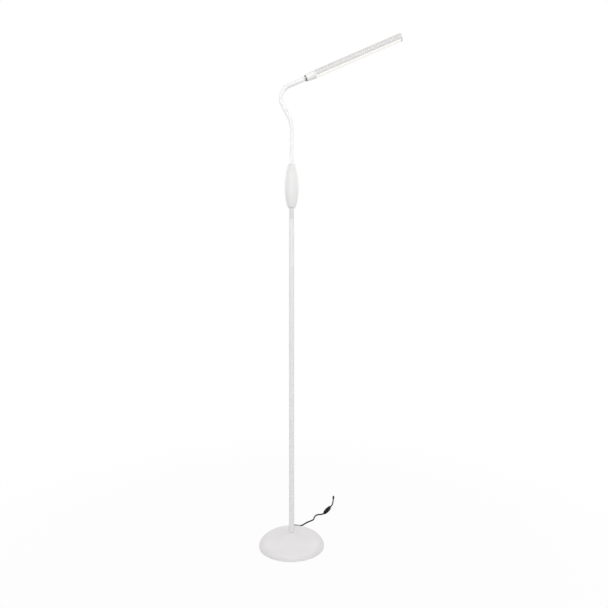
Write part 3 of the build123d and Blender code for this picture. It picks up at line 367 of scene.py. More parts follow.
# ---- Base: pad, plate and weight ----
# A thin foam pad is glued under a steel plate; three pan-head screws pull the plate up against the cast
# iron weight. None of it shows from above, but it does when the lamp is tipped.
def brushed_material(name, tone, low_tone, gloss, stretch):
    """Bare metal with fine streaks along one direction."""
    material = bpy.data.materials.new(name)
    material.use_nodes = True
    tree = material.node_tree
    shader = tree.nodes["Principled BSDF"]
    where = tree.nodes.new("ShaderNodeTexCoord").outputs["Object"]
    streaks = noise_nodes(tree, where, 900.0, 2.0, stretch=stretch)
    drift = noise_nodes(tree, where, 60.0, 2.0)
    tree.links.new(mixed_colour(tree, drift, tone, low_tone), shader.inputs["Base Color"])
    roughness = arithmetic(tree, "MULTIPLY_ADD", streaks, 0.25, gloss)
    tree.links.new(roughness, shader.inputs["Roughness"])
    relief = tree.nodes.new("ShaderNodeBump")
    relief.inputs["Distance"].default_value = 0.00002
    tree.links.new(streaks, relief.inputs["Height"])
    tree.links.new(relief.outputs["Normal"], shader.inputs["Normal"])
    shader.inputs["Metallic"].default_value = 1.0
    return material


foam = skin_material("foam_pad", shade(0.035), shade(0.06), 1400.0, 0.9, 0.0003, drift=90.0)
raw_casting = skin_material(
    "raw_casting", shade(0.13), shade(0.06), 700.0, 0.6, 0.0004, drift=35.0, gloss_spread=0.3
)
zinc_plate = brushed_material(
    "zinc_plate", (0.55, 0.56, 0.57, 1), (0.44, 0.44, 0.43, 1), 0.28, (1.0, 0.06, 1.0)
)
turned_steel = brushed_material(
    "turned_steel", (0.5, 0.5, 0.51, 1), (0.42, 0.42, 0.42, 1), 0.22, (0.1, 0.1, 1.0)
)
clothe("base_pad", foam)
clothe("base_plate", zinc_plate)
clothe("base_weight", raw_casting)
for name in ("threaded_nipple", "nipple_nut", "nipple_washer", "pole_foot_plug", "pole_joiner"):
    clothe(name, turned_steel)


def geometry_tree(name, inputs):
    """An empty Geometry Nodes tree with the named inputs."""
    tree = bpy.data.node_groups.new(name, "GeometryNodeTree")
    tree.interface.new_socket("Geometry", in_out="INPUT", socket_type="NodeSocketGeometry")
    for label, kind, value in inputs:
        socket = tree.interface.new_socket(label, in_out="INPUT", socket_type=kind)
        if value is not None:
            socket.default_value = value
    tree.interface.new_socket("Geometry", in_out="OUTPUT", socket_type="NodeSocketGeometry")
    return tree, tree.nodes.new("NodeGroupInput").outputs, tree.nodes.new("NodeGroupOutput").inputs


def wire(tree, kind, links=(), **settings):
    """A node with its settings, and its inputs linked or set by name or number."""
    node = tree.nodes.new(kind)
    for label, value in settings.items():
        setattr(node, label, value)
    for label, value in links:
        if isinstance(value, bpy.types.NodeSocket):
            tree.links.new(value, node.inputs[label])
        else:
            node.inputs[label].default_value = value
    return node


def end_tree(tree, geometry, material, output):
    """Makes a tree's instances real and gives them their material."""
    real = wire(tree, "GeometryNodeRealizeInstances", [(0, geometry)])
    dressed = wire(tree, "GeometryNodeSetMaterial", [("Geometry", real.outputs[0]), ("Material", material)])
    tree.links.new(dressed.outputs[0], output["Geometry"])


def screw_tree():
    """A domed cross-recess screw, head up, on every point of the mesh that the tree is given."""
    inputs = [
        ("Head Radius", "NodeSocketFloat", 0.004),
        ("Head Height", "NodeSocketFloat", 0.002),
        ("Shank Radius", "NodeSocketFloat", 0.002),
        ("Shank Length", "NodeSocketFloat", 0.008),
        ("Turn", "NodeSocketVector", (0, 0, 0)),
        ("Material", "NodeSocketMaterial", None),
    ]
    tree, given, output = geometry_tree("cross_recess_screws", inputs)
    axis = wire(tree, "GeometryNodeCurvePrimitiveLine", [("Start", (0, 0, 0))])
    tip = wire(tree, "ShaderNodeCombineXYZ", [("Z", given["Head Height"])])
    tree.links.new(tip.outputs[0], axis.inputs["End"])
    steps = wire(tree, "GeometryNodeResampleCurve", [("Curve", axis.outputs[0]), ("Count", 10)])
    share = wire(tree, "GeometryNodeSplineParameter").outputs["Factor"]
    drop = arithmetic(tree, "MULTIPLY", arithmetic(tree, "POWER", share, 3.0), 0.7)
    width = arithmetic(tree, "SQRT", arithmetic(tree, "SUBTRACT", 1.0, drop))
    shaped = wire(tree, "GeometryNodeSetCurveRadius", [("Curve", steps.outputs[0]), ("Radius", width)])
    ring = wire(
        tree, "GeometryNodeCurvePrimitiveCircle", [("Resolution", 28), ("Radius", given["Head Radius"])]
    )
    head = wire(
        tree,
        "GeometryNodeCurveToMesh",
        [("Curve", shaped.outputs[0]), ("Profile Curve", ring.outputs["Curve"]), ("Fill Caps", True)],
    )
    tree.links.new(width, head.inputs["Scale"])
    slot_width = arithmetic(tree, "MULTIPLY", given["Head Radius"], 0.24)
    slot_length = arithmetic(tree, "MULTIPLY", given["Head Radius"], 1.2)
    slot_depth = arithmetic(tree, "MULTIPLY", given["Head Height"], 1.1)
    cutters = []
    for long_side, short_side in ((slot_length, slot_width), (slot_width, slot_length)):
        sides = [("X", long_side), ("Y", short_side), ("Z", slot_depth)]
        size = wire(tree, "ShaderNodeCombineXYZ", sides)
        cutter = wire(tree, "GeometryNodeMeshCube", [("Size", size.outputs[0])])
        lifted = wire(tree, "GeometryNodeTransform", [("Geometry", cutter.outputs["Mesh"])])
        tree.links.new(tip.outputs[0], lifted.inputs["Translation"])
        cutters.append(lifted.outputs[0])
    recessed = wire(tree, "GeometryNodeMeshBoolean", [("Mesh 1", head.outputs[0])], operation="DIFFERENCE")
    for cutter in cutters:
        tree.links.new(cutter, recessed.inputs["Mesh 2"])
    shank = wire(
        tree,
        "GeometryNodeMeshCylinder",
        [("Vertices", 20), ("Radius", given["Shank Radius"]), ("Depth", given["Shank Length"])],
    )
    drop_by = arithmetic(tree, "MULTIPLY", given["Shank Length"], -0.5)
    half = wire(tree, "ShaderNodeCombineXYZ", [("Z", drop_by)])
    hung = wire(
        tree,
        "GeometryNodeTransform",
        [("Geometry", shank.outputs["Mesh"]), ("Translation", half.outputs[0])],
    )
    screw = wire(tree, "GeometryNodeJoinGeometry")
    tree.links.new(hung.outputs[0], screw.inputs[0])
    tree.links.new(recessed.outputs[0], screw.inputs[0])
    turned = wire(
        tree, "GeometryNodeTransform", [("Geometry", screw.outputs[0]), ("Rotation", given["Turn"])]
    )
    spread = wire(
        tree,
        "GeometryNodeInstanceOnPoints",
        [("Points", given["Geometry"]), ("Instance", turned.outputs[0])],
    )
    end_tree(tree, spread.outputs[0], given["Material"], output)
    return tree


SCREW_TREE = screw_tree()


def set_input(modifier, label, value):
    for item in modifier.node_group.interface.items_tree:
        if item.item_type == "SOCKET" and item.in_out == "INPUT" and item.name == label:
            modifier[item.identifier] = value


def bake(piece, name):
    """Turns a piece with live modifiers into a plain mesh object, and removes the source."""
    depsgraph = bpy.context.evaluated_depsgraph_get()
    mesh = bpy.data.meshes.new_from_object(piece.evaluated_get(depsgraph))
    result = place(bpy.data.objects.new(name, mesh))
    bpy.data.objects.remove(piece)
    return result


CREASE_ANGLE = math.radians(35)


def smooth_with_creases(mesh):
    mesh.shade_smooth()
    mesh.set_sharp_from_angle(angle=CREASE_ANGLE)


def grown(name, points, tree, values):
    """Grows a Geometry Nodes tree on a set of points and bakes the result."""
    mesh = bpy.data.meshes.new(name)
    mesh.from_pydata([tuple(p) for p in points], [], [])
    source = place(bpy.data.objects.new(name + "_points", mesh))
    modifier = source.modifiers.new("grow", "NODES")
    modifier.node_group = tree
    for label, value in values.items():
        set_input(modifier, label, value)
    result = bake(source, name)
    smooth_with_creases(result.data)
    return result


PLATE_SCREW_CIRCLE = 60.0 * MM
PLATE_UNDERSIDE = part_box("base_plate")[0].z
PLATE_SCREW_HEAD = 1.7 * MM
PLATE_SCREWS = 3
plate_places = []
for k in range(PLATE_SCREWS):
    around = math.radians(90 + 360 / PLATE_SCREWS * (k + 0.5))
    x, y = PLATE_SCREW_CIRCLE * math.cos(around), PLATE_SCREW_CIRCLE * math.sin(around)
    plate_places.append((x, y, PLATE_UNDERSIDE))
plate_screws = grown("plate_screw_set", plate_places, SCREW_TREE, {
    "Head Radius": 3.8 * MM,
    "Head Height": PLATE_SCREW_HEAD,
    "Shank Radius": 2.0 * MM,
    "Shank Length": 8.0 * MM,
    "Turn": (math.pi, 0, 0),
    "Material": turned_steel,
})
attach(plate_screws, "stand")
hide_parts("plate_screws")


# ---- Base: cover ----
# A domed shell pressed from steel sheet and powder coated in satin white. Its rim turns down to stop just
# above the floor, and pole and weight clamp it between them.
def rounded(corners, radius, steps=5):
    """A closed outline of (radius, height) corners with each corner rounded."""
    result = []
    count = len(corners)
    for k in range(count):
        before, here, after = (Vector(corners[(k + d) % count]) for d in (-1, 0, 1))
        into, out = here - before, after - here
        reach = min(radius, 0.45 * into.length, 0.45 * out.length)
        if here.x < 1e-9 or reach < 1e-7:
            result.append(tuple(here))
            continue
        start, end = here - into.normalized() * reach, here + out.normalized() * reach
        for step in range(steps + 1):
            t = step / steps
            result.append(tuple(start.lerp(here, t).lerp(here.lerp(end, t), t)))
    return result


def turned_piece(name, outline, steps, material, stand=Matrix.Identity(4)):
    """A solid of revolution about Z from a closed (radius, height) outline, then stood in its place."""
    build = bmesh.new()
    rings = []
    for step in range(steps):
        angle = 2 * math.pi * step / steps
        c, s = math.cos(angle), math.sin(angle)
        rings.append([build.verts.new((r * c, r * s, z)) for r, z in outline])
    count = len(outline)
    for step in range(steps):
        here, there = rings[step], rings[(step + 1) % steps]
        for k in range(count):
            after = (k + 1) % count
            if outline[k][0] > 1e-9 or outline[after][0] > 1e-9:
                build.faces.new((here[k], there[k], there[after], here[after]))
    bmesh.ops.remove_doubles(build, verts=build.verts, dist=1e-7)
    bmesh.ops.recalc_face_normals(build, faces=build.faces)
    bmesh.ops.transform(build, matrix=stand, verts=build.verts)
    mesh = bpy.data.meshes.new(name)
    build.to_mesh(mesh)
    build.free()
    smooth_with_creases(mesh)
    mesh.materials.append(material)
    return place(bpy.data.objects.new(name, mesh))


def worn_paint_group():
    """A colour with small scuffs near one height, for rims that meet shoes and floors."""
    inputs = [
        ("Tone", "NodeSocketColor", shade(0.8)),
        ("Scuffed", "NodeSocketColor", shade(0.5)),
        ("Height", "NodeSocketFloat", 0.0),
        ("Reach", "NodeSocketFloat", 0.01),
        ("Amount", "NodeSocketFloat", 0.3),
    ]
    group, given, result = shader_group("low_scuffs", inputs, [("Color", "NodeSocketColor")])
    where = group.nodes.new("ShaderNodeTexCoord").outputs["Object"]
    level = group.nodes.new("ShaderNodeSeparateXYZ")
    group.links.new(where, level.inputs[0])
    above = arithmetic(group, "SUBTRACT", level.outputs["Z"], given.outputs["Height"])
    away = arithmetic(group, "ABSOLUTE", above)
    near = arithmetic(group, "SUBTRACT", 1.0, arithmetic(group, "DIVIDE", away, given.outputs["Reach"]))
    near = arithmetic(group, "MAXIMUM", near, 0.0)
    marks = noise_nodes(group, where, 420.0, 5.0)
    marks = arithmetic(group, "MAXIMUM", arithmetic(group, "SUBTRACT", marks, 0.52), 0.0)
    marks = arithmetic(group, "MINIMUM", arithmetic(group, "MULTIPLY", marks, 6.0), 1.0)
    mask = arithmetic(group, "MULTIPLY", arithmetic(group, "MULTIPLY", near, marks), given.outputs["Amount"])
    colour = mixed_colour(group, mask, given.outputs["Tone"], given.outputs["Scuffed"])
    group.links.new(colour, result.inputs["Color"])
    return group


LOW_SCUFFS = worn_paint_group()


def scuffed(material, height, reach, amount, tone):
    """Adds scuffs near a height to a skin material's colour."""
    tree = material.node_tree
    shader = tree.nodes["Principled BSDF"]
    colour = shader.inputs["Base Color"].links[0].from_socket
    marks = use_group(tree, LOW_SCUFFS, {
        "Tone": colour,
        "Scuffed": tone,
        "Height": height,
        "Reach": reach,
        "Amount": amount,
    })
    tree.links.new(marks.outputs["Color"], shader.inputs["Base Color"])
    return material


satin_base = skin_material(
    "satin_base_coat", (0.82, 0.80, 0.805, 1), (0.795, 0.775, 0.78, 1), 900.0, 0.42, 0.00003, drift=9.0
)
scuffed(satin_base, 0.002, 0.009, 0.12, (0.6, 0.59, 0.58, 1))
cover_low, cover_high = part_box("base_cover")
COVER_RADIUS = cover_high.x
COVER_TOP = cover_high.z
COVER_FOOT = cover_low.z
DOME_START = 2.5 * MM
COVER_WALL = 2.5 * MM
COVER_BORE = 5.1 * MM
COVER_BOSS = 16.0 * MM
COVER_BOSS_FACE = COVER_TOP - 4.0 * MM
DOME_STEPS = 40
RIM_ROUND = 0.7 * MM
RIM_CORNER = 0.2 * MM


def dome_arc(radius, top, first, last):
    """Points of a quarter ellipse from its rim upwards, between two angles."""
    points = []
    for k in range(DOME_STEPS + 1):
        angle = first + (last - first) * k / DOME_STEPS
        points.append((radius * math.cos(angle), DOME_START + (top - DOME_START) * math.sin(angle)))
    return points


cover_outline = dome_arc(COVER_RADIUS, COVER_TOP, 0, math.acos(COVER_BORE / COVER_RADIUS))
inner_radius = COVER_RADIUS - COVER_WALL
cover_outline += [(COVER_BORE, COVER_BOSS_FACE), (COVER_BOSS, COVER_BOSS_FACE)]
cover_outline += dome_arc(inner_radius, COVER_TOP - COVER_WALL, math.acos(COVER_BOSS / inner_radius), 0)
cover_outline += [(inner_radius, COVER_FOOT), (COVER_RADIUS - RIM_ROUND, COVER_FOOT)]
cover_outline += [(COVER_RADIUS - RIM_CORNER, COVER_FOOT + RIM_CORNER)]
cover_outline += [(COVER_RADIUS, COVER_FOOT + RIM_ROUND)]
cover = turned_piece("domed_cover", cover_outline, steps=160, material=satin_base)
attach(cover, "stand")
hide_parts("base_cover")


# ---- Base: strain relief ----
# A soft black moulding pushed through the rear of the cover. Grooves round its taper let it flex
# with the lead.
def standing(origin, direction):
    """A matrix that stands +Z of a piece along a direction, at an origin."""
    turn = Vector(direction).to_track_quat("Z", "Y").to_matrix().to_4x4()
    return Matrix.Translation(Vector(origin)) @ turn


soft_black = skin_material(
    "soft_black_moulding", shade(0.006), shade(0.01), 1800.0, 0.5, 0.00005, drift=80.0, shine=0.12
)
gland_low, gland_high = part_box("cord_gland")
COLLAR_WIDTH = 2.5 * MM
COLLAR_RADIUS = 4.6 * MM
WALL_NECK_RADIUS = 3.4 * MM
WALL_NECK_END = gland_low.y + COLLAR_WIDTH + 1.2 * MM
RELIEF_EDGE = COVER_RADIUS + 0.1 * MM
RELIEF_ROOT = 4.4 * MM
RELIEF_TIP = 2.9 * MM
GROOVES = 4
GROOVE_DEPTH = 0.55 * MM
GROOVE_PROFILE = ((0.15, 0.0), (0.35, 0.0), (0.45, GROOVE_DEPTH), (0.75, GROOVE_DEPTH), (0.85, 0.0))
collar_end = gland_low.y + COLLAR_WIDTH
relief_outline = [(0.0, gland_low.y), (COLLAR_RADIUS, gland_low.y), (COLLAR_RADIUS, collar_end)]
relief_outline += [(WALL_NECK_RADIUS, collar_end), (WALL_NECK_RADIUS, WALL_NECK_END)]
relief_outline += [(RELIEF_ROOT, WALL_NECK_END), (RELIEF_ROOT, RELIEF_EDGE)]
for k in range(GROOVES):
    for share, drop in GROOVE_PROFILE:
        t = (k + share) / GROOVES
        radius = RELIEF_ROOT + (RELIEF_TIP - RELIEF_ROOT) * t - drop
        relief_outline.append((radius, RELIEF_EDGE + (gland_high.y - RELIEF_EDGE) * t))
relief_outline += [(RELIEF_TIP, gland_high.y), (0.0, gland_high.y)]
relief_stand = standing((0, 0, GLAND_TIP[2] * MM), (0, 1, 0))
relief = turned_piece("strain_relief", relief_outline, steps=40, material=soft_black, stand=relief_stand)
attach(relief, "stand")
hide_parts("cord_gland")


# ---- Pole ----
# Two steel tubes with the same satin coat, pushed together over a hidden joiner, and above them a
# slimmer sleeve that carries the grip.
satin_pole = skin_material("satin_pole_coat", shade(0.82), shade(0.79), 1100.0, 0.38, 0.00001, drift=22.0)
# The sleeve's darker grey is partly its own finish and partly painted shade for the shadow that the grip
# casts down on it.
sleeve_coat_and_painted_shade = skin_material("sleeve_coat_and_painted_shade", shade(0.74), shade(0.70), 1300.0, 0.4, 0.00002, drift=30.0)
POLE_WALL = 1.0 * MM
POLE_EDGE_BREAK = 0.3 * MM
for name in ("pole_lower_tube", "pole_upper_tube"):
    low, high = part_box(name)
    outline = [(high.x - POLE_WALL, low.z), (high.x, low.z), (high.x, high.z), (high.x - POLE_WALL, high.z)]
    outline = rounded(outline, POLE_EDGE_BREAK)
    tube = turned_piece(name + "_coated", outline, steps=64, material=satin_pole)
    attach(tube, "stand")
    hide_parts(name)
clothe("pole_top_coupler", sleeve_coat_and_painted_shade)


# ---- Grip ----
# A spindle of two moulded half shells, parted along its sides, screwed together from the rear round
# the core that carries the neck. A plain collar closes each end.
moulded_white = skin_material(
    "moulded_white", (0.83, 0.825, 0.82, 1), (0.80, 0.795, 0.79, 1), 2400.0, 0.4, 0.00003, drift=26.0
)
plain_core = skin_material("plain_core", shade(0.72), shade(0.66), 1500.0, 0.5, 0.00004)
clothe("grip_core", plain_core)
for name in ("grip_front_shell", "grip_rear_shell", "grip_top_collar", "grip_bottom_collar"):
    clothe(name, moulded_white)
GRIP_SCREW_X = 12.4 * MM
GRIP_SCREW_SPREAD = 33.0 * MM
GRIP_SEAT = 4.0 * MM
GRIP_MIDDLE = (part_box("grip_bottom_collar")[0].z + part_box("grip_top_collar")[1].z) / 2
grip_places = []
for side in (-1, 1):
    for level in (-1, 1):
        grip_places.append((side * GRIP_SCREW_X, GRIP_SEAT, GRIP_MIDDLE + level * GRIP_SCREW_SPREAD))
grip_screws = grown("grip_screw_set", grip_places, SCREW_TREE, {
    "Head Radius": 2.6 * MM,
    "Head Height": 1.8 * MM,
    "Shank Radius": 1.3 * MM,
    "Shank Length": 9.0 * MM,
    "Turn": (-math.pi / 2, 0, 0),
    "Material": turned_steel,
})
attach(grip_screws, "stand")
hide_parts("grip_screws")


# ---- Gooseneck ----
# A wound steel hose under a thin white skin: fine ribs run round it, and it stays where it is bent. It is one
# hose, built here as one fixed stretch round each hinge of the frame, in place of its hidden link.
turned_brass = brushed_material(
    "turned_brass", (0.72, 0.55, 0.27, 1), (0.6, 0.44, 0.2, 1), 0.25, (0.15, 1.0, 0.15)
)
dark_spring = brushed_material(
    "dark_spring", (0.22, 0.22, 0.23, 1), (0.16, 0.16, 0.17, 1), 0.35, (1.0, 0.3, 1.0)
)
clothe("neck_spigot", turned_brass)
clothe("spigot_clip", dark_spring)
neck_skin = skin_material("neck_skin", shade(0.90), shade(0.885), 2200.0, 0.42, 0.00001, drift=40.0)

NECK_ROOT = 1184.8
NECK_RADIUS = 7.0
NECK_RISE = 131.0
NECK_LEAN = math.radians(27.5)
NECK_LEAN_RUN = 107.7
NECK_END_RUN = 101.8
HEAD_RISE = math.radians(23.4)
BEND_RADII = (80.0, 42.5)
RING_WIDTH = 4.5


def neck_line():
    """The neck's centre line as short steps: (distance along it, point, direction), in millimetres."""
    root = Vector((0, 0, NECK_ROOT))
    first = root + Vector((0, 0, NECK_RISE))
    second = first + Vector((-math.sin(NECK_LEAN), 0, math.cos(NECK_LEAN))) * NECK_LEAN_RUN
    end = second + Vector((math.cos(HEAD_RISE), 0, math.sin(HEAD_RISE))) * NECK_END_RUN
    corners = [root, first, second, end]
    pieces = []
    start = root
    for corner, after, radius in zip(corners[1:3], corners[2:4], BEND_RADII):
        into = (corner - start).normalized()
        out = (after - corner).normalized()
        half = into.angle(out) / 2
        reach = radius * math.tan(half)
        arc_start, arc_end = corner - into * reach, corner + out * reach
        pieces.append(("straight", start, arc_start))
        side = (out - into * into.dot(out)).normalized()
        pieces.append(("arc", arc_start, into, side, radius, 2 * half))
        start = arc_end
    pieces.append(("straight", start, end))
    return pieces


def neck_place(pieces, distance):
    """The point and direction at a distance along the neck."""
    for piece in pieces:
        if piece[0] == "straight":
            length = (piece[2] - piece[1]).length
            if distance <= length or piece is pieces[-1]:
                direction = (piece[2] - piece[1]).normalized()
                return piece[1] + direction * distance, direction
        else:
            _, start, into, side, radius, turn = piece
            length = radius * turn
            if distance <= length:
                angle = distance / radius
                point = start + into * radius * math.sin(angle) + side * radius * (1 - math.cos(angle))
                return point, into * math.cos(angle) + side * math.sin(angle)
        distance -= length


def line_length(pieces):
    return sum((p[2] - p[1]).length if p[0] == "straight" else p[4] * p[5] for p in pieces)


def ribbed_hose_tree():
    """A ribbed tube along the curve that the tree is given, with whole ribs and closed ends."""
    inputs = [
        ("Radius", "NodeSocketFloat", 0.007),
        ("Rib Depth", "NodeSocketFloat", 0.0003),
        ("Ribs", "NodeSocketInt", 20),
        ("Steps a Rib", "NodeSocketInt", 6),
        ("Sides", "NodeSocketInt", 36),
        ("Material", "NodeSocketMaterial", None),
    ]
    tree, given, output = geometry_tree("ribbed_hose", inputs)
    count = arithmetic(tree, "MULTIPLY_ADD", given["Ribs"], given["Steps a Rib"], 1.0)
    steps = wire(tree, "GeometryNodeResampleCurve", [("Curve", given["Geometry"]), ("Count", count)])
    share = wire(tree, "GeometryNodeSplineParameter").outputs["Factor"]
    turns = arithmetic(tree, "MULTIPLY", arithmetic(tree, "MULTIPLY", share, given["Ribs"]), 2 * math.pi)
    wave = arithmetic(tree, "MULTIPLY_ADD", arithmetic(tree, "COSINE", turns), 0.5, 0.5)
    cut = arithmetic(tree, "DIVIDE", given["Rib Depth"], given["Radius"])
    width = arithmetic(tree, "SUBTRACT", 1.0, arithmetic(tree, "MULTIPLY", wave, cut))
    shaped = wire(tree, "GeometryNodeSetCurveRadius", [("Curve", steps.outputs[0]), ("Radius", width)])
    ring = wire(
        tree,
        "GeometryNodeCurvePrimitiveCircle",
        [("Resolution", given["Sides"]), ("Radius", given["Radius"])],
    )
    hose = wire(
        tree,
        "GeometryNodeCurveToMesh",
        [("Curve", shaped.outputs[0]), ("Profile Curve", ring.outputs["Curve"]), ("Fill Caps", True)],
    )
    tree.links.new(width, hose.inputs["Scale"])
    end_tree(tree, hose.outputs[0], given["Material"], output)
    return tree


NECK_LINE = neck_line()
NECK_END = line_length(NECK_LINE) - RING_WIDTH / 2
LOWER_HINGES = [24.0 + 42.0 * k for k in range(4)]
UPPER_HINGES = [178.0 + 19.0 * k for k in range(7)]
HINGES = LOWER_HINGES + UPPER_HINGES
RIB_PITCH = 2.2
RIB_DEPTH = 0.18
LINE_STEP = 0.6
HOSE_TREE = ribbed_hose_tree()
joins = [0.0] + [(a + b) / 2 for a, b in zip(HINGES, HINGES[1:])] + [NECK_END]

for k, hinge in enumerate(HINGES):
    start, end = joins[k], joins[k + 1]
    stretch_curve = bpy.data.curves.new("hose_line", "CURVE")
    stretch_curve.dimensions = "3D"
    spline = stretch_curve.splines.new("POLY")
    stops = max(2, round((end - start) / LINE_STEP))
    spline.points.add(stops)
    for step, point in enumerate(spline.points):
        spot, _ = neck_place(NECK_LINE, start + (end - start) * step / stops)
        point.co = (spot.x * MM, spot.y * MM, spot.z * MM, 1)
    source = place(bpy.data.objects.new("hose_source", stretch_curve))
    modifier = source.modifiers.new("hose", "NODES")
    modifier.node_group = HOSE_TREE
    set_input(modifier, "Radius", NECK_RADIUS * MM)
    set_input(modifier, "Rib Depth", RIB_DEPTH * MM)
    set_input(modifier, "Ribs", round((end - start) / RIB_PITCH))
    set_input(modifier, "Material", neck_skin)
    hose = bake(source, f"neck_hose_{k + 1:02d}")
    hose.data.shade_smooth()
    half_bend = min(hinge - start, end - hinge)
    lower_point, _ = neck_place(NECK_LINE, hinge - half_bend)
    upper_point, _ = neck_place(NECK_LINE, hinge + half_bend)
    links = [f"neck_link_{k + 1:02d}"]
    if k == len(HINGES) - 1:
        links.append(f"neck_link_{k + 2:02d}")
    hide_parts(*links)
    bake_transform(hose)


# ---- Swivel ----
# A turned and chromed ring between hose and head. The hollow pin through it lets the head roll about
# its own length, and a spring clip holds the pin in the head's joint.
dark_chrome = brushed_material(
    "dark_chrome", (0.24, 0.24, 0.25, 1), (0.2, 0.2, 0.21, 1), 0.05, (1.0, 0.4, 1.0)
)
HEAD_ALONG = Vector((math.cos(HEAD_RISE), 0, math.sin(HEAD_RISE)))
HEAD_UP = Vector((-math.sin(HEAD_RISE), 0, math.cos(HEAD_RISE)))
HEAD_START = neck_place(NECK_LINE, line_length(NECK_LINE))[0] * MM
head_turn = Matrix((HEAD_UP.cross(HEAD_ALONG), HEAD_UP, HEAD_ALONG)).transposed().to_4x4()
HEAD_STAND = Matrix.Translation(HEAD_START) @ head_turn
RING_BORE = 4.2 * MM
RING_RADIUS = 9.4 * MM
RING_ROUND = 1.2 * MM
ring_half = RING_WIDTH / 2 * MM
ring_corners = [
    (RING_BORE, -ring_half),
    (RING_RADIUS, -ring_half),
    (RING_RADIUS, ring_half),
    (RING_BORE, ring_half),
]
ring_outline = rounded(ring_corners, RING_ROUND, steps=8)
ring = turned_piece("chromed_ring", ring_outline, steps=72, material=dark_chrome, stand=HEAD_STAND)
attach(ring, "neck_12")
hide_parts("swivel_ring")
clothe("swivel_pin", turned_brass)
clothe("swivel_clip", dark_spring)
clothe("joint_nut", turned_brass)


# ---- Head: joint, caps and housing ----
# The opaque upper side of the light bar: a conical joint, a rear cap, a long drawn housing with a screw
# channel in each shoulder, and a front cap. Two small screws hold each cap.
satin_white_head = skin_material(
    "satin_white_head", (0.86, 0.855, 0.85, 1), (0.84, 0.835, 0.83, 1), 1700.0, 0.4, 0.00001, drift=18.0
)
# Housing and front cap take a greyer copy of the head's white: partly a light grey finish, partly painted
# shade because the head is lit less than the upright parts.
grey_head_coat_and_painted_shade = skin_material(
    "grey_head_coat_and_painted_shade", (0.725, 0.715, 0.71, 1), (0.70, 0.69, 0.685, 1), 1700.0, 0.4, 0.000008, drift=18.0
)
# The joint takes a lighter copy of the head's white: painted light, so that it shows brighter than the rear
# cap beside it.
joint_white_painted_light = skin_material(
    "joint_white_painted_light", (0.90, 0.895, 0.89, 1), (0.88, 0.875, 0.87, 1), 1700.0, 0.4, 0.00001, drift=18.0
)
clothe("head_joint", joint_white_painted_light)
clothe("head_rear_cap", satin_white_head)
for name in ("head_housing", "head_front_cap"):
    clothe(name, grey_head_coat_and_painted_shade)


def in_head(distance, across, up):
    """A point in the head, from its distance along it, across it and above its axis, in millimetres."""
    side = Vector((0, 1, 0))
    return HEAD_START + (HEAD_ALONG * distance + side * across + HEAD_UP * up) * MM


CAP_SCREW_ACROSS = 6.9
CAP_SCREW_UP = 6.1
CAP_SCREW_HEAD = 1.2
HEAD_BACK = 22.05
HEAD_LENGTH = 301.0
HEAD_TIP = HEAD_BACK + HEAD_LENGTH
cap_screw_values = {
    "Head Radius": 1.7 * MM,
    "Head Height": CAP_SCREW_HEAD * MM,
    "Shank Radius": 1.05 * MM,
    "Shank Length": 11.0 * MM,
    "Material": turned_steel,
}
front_places, back_places = [], []
for side in (-1, 1):
    front_places.append(in_head(HEAD_TIP - CAP_SCREW_HEAD, side * CAP_SCREW_ACROSS, CAP_SCREW_UP))
    back_places.append(in_head(HEAD_BACK + CAP_SCREW_HEAD, side * CAP_SCREW_ACROSS, CAP_SCREW_UP))
front_turn = (0, math.pi / 2 - HEAD_RISE, 0)
back_turn = (0, -math.pi / 2 - HEAD_RISE, 0)
front_screws = grown("front_cap_screws", front_places, SCREW_TREE, {**cap_screw_values, "Turn": front_turn})
back_screws = grown("rear_cap_screws", back_places, SCREW_TREE, {**cap_screw_values, "Turn": back_turn})
for screws in (front_screws, back_screws):
    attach(screws, "head")
    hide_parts("cap_screws")


# ---- Head: light source ----
# A white strip board with a row of yellow chips on an aluminium carrier, and a small driver on a green
# board above it. The milky diffuser below spreads their light evenly.
strip_metal = brushed_material(
    "strip_metal", (0.72, 0.72, 0.73, 1), (0.64, 0.64, 0.65, 1), 0.3, (0.08, 1.0, 1.0)
)
solder_mask = skin_material("white_solder_mask", shade(0.82), shade(0.78), 3000.0, 0.35, 0.00001, drift=120.0)
phosphor = skin_material(
    "phosphor", (0.86, 0.68, 0.16, 1), (0.9, 0.76, 0.3, 1), 2500.0, 0.3, 0.00001, drift=400.0
)
green_board = skin_material(
    "green_board", (0.02, 0.14, 0.06, 1), (0.03, 0.2, 0.09, 1), 900.0, 0.3, 0.00002, drift=300.0
)
dark_parts = skin_material("dark_parts", shade(0.03), shade(0.06), 1600.0, 0.4, 0.00003, drift=200.0)
wire_jacket = skin_material("wire_jacket", shade(0.35), shade(0.3), 2200.0, 0.45, 0.00002)
clothe("board_carrier", strip_metal)
clothe("led_board", solder_mask)
clothe("led_chips", phosphor)
clothe("driver_board", green_board)
clothe("driver_parts", dark_parts)
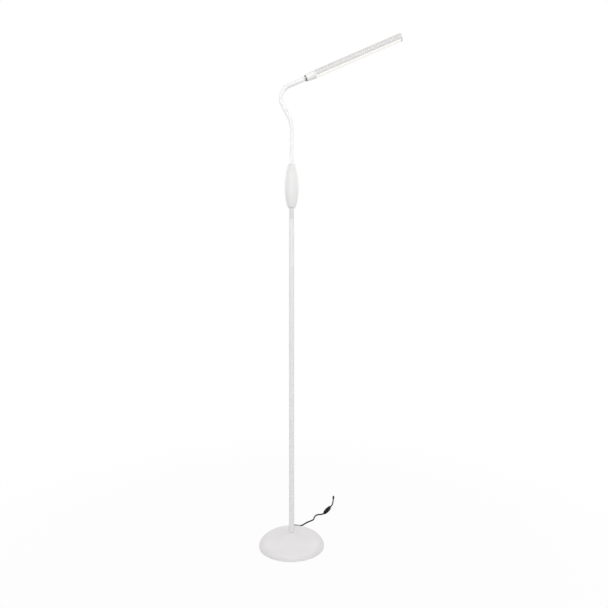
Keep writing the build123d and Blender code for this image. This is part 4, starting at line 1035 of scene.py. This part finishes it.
clothe("head_wire", wire_jacket)
clothe("inner_wire", wire_jacket)


CHIP_PITCH = 9.0 * MM


def lit_diffuser_material():
    """Opal plastic that glows evenly from the chips behind it, a touch stronger near each chip."""
    material = skin_material(
        "opal_diffuser", (0.93, 0.925, 0.90, 1), (0.91, 0.90, 0.87, 1), 1800.0, 0.34, 0.00001
    )
    tree = material.node_tree
    shader = tree.nodes["Principled BSDF"]
    where = tree.nodes.new("ShaderNodeTexCoord").outputs["Object"]
    along = tree.nodes.new("ShaderNodeVectorMath")
    along.operation = "DOT_PRODUCT"
    tree.links.new(where, along.inputs[0])
    along.inputs[1].default_value = tuple(HEAD_ALONG)
    phase = arithmetic(tree, "MULTIPLY", along.outputs["Value"], 2 * math.pi / CHIP_PITCH)
    ripple = arithmetic(tree, "MULTIPLY_ADD", arithmetic(tree, "COSINE", phase), 0.5, 0.5)
    glow = mixed_colour(tree, ripple, (0.96, 0.945, 0.90, 1), (1.0, 0.985, 0.94, 1))
    tree.links.new(glow, shader.inputs["Emission Color"])
    shader.inputs["Emission Strength"].default_value = 0.22
    return material


opal = lit_diffuser_material()
clothe("head_diffuser", opal)


# ---- Switch on the lead ----
# A lens-shaped hand switch: two glossy black half shells screwed together from below, with one oblong
# push button in its upper side.
gloss_black = skin_material(
    "gloss_black", shade(0.002), shade(0.004), 900.0, 0.22, 0.00001, drift=50.0, gloss_spread=0.1, shine=0.03
)
button_black = skin_material(
    "button_black", shade(0.004), shade(0.007), 1500.0, 0.45, 0.00004, drift=90.0, shine=0.06
)
clothe("switch_lower_shell", gloss_black)
clothe("switch_upper_shell", gloss_black)
clothe("switch_button", button_black)
clothe("push_switch", dark_parts)
clothe("switch_screws", turned_steel)


# ---- Plug at the lead's end ----
# A slim moulded sleeve with a nickelled barrel that pushes into its supply.
nickel = brushed_material("nickel", (0.6, 0.59, 0.56, 1), (0.5, 0.49, 0.47, 1), 0.14, (0.2, 0.2, 1.0))
clothe("connector_body", soft_black)
clothe("connector_barrel", nickel)
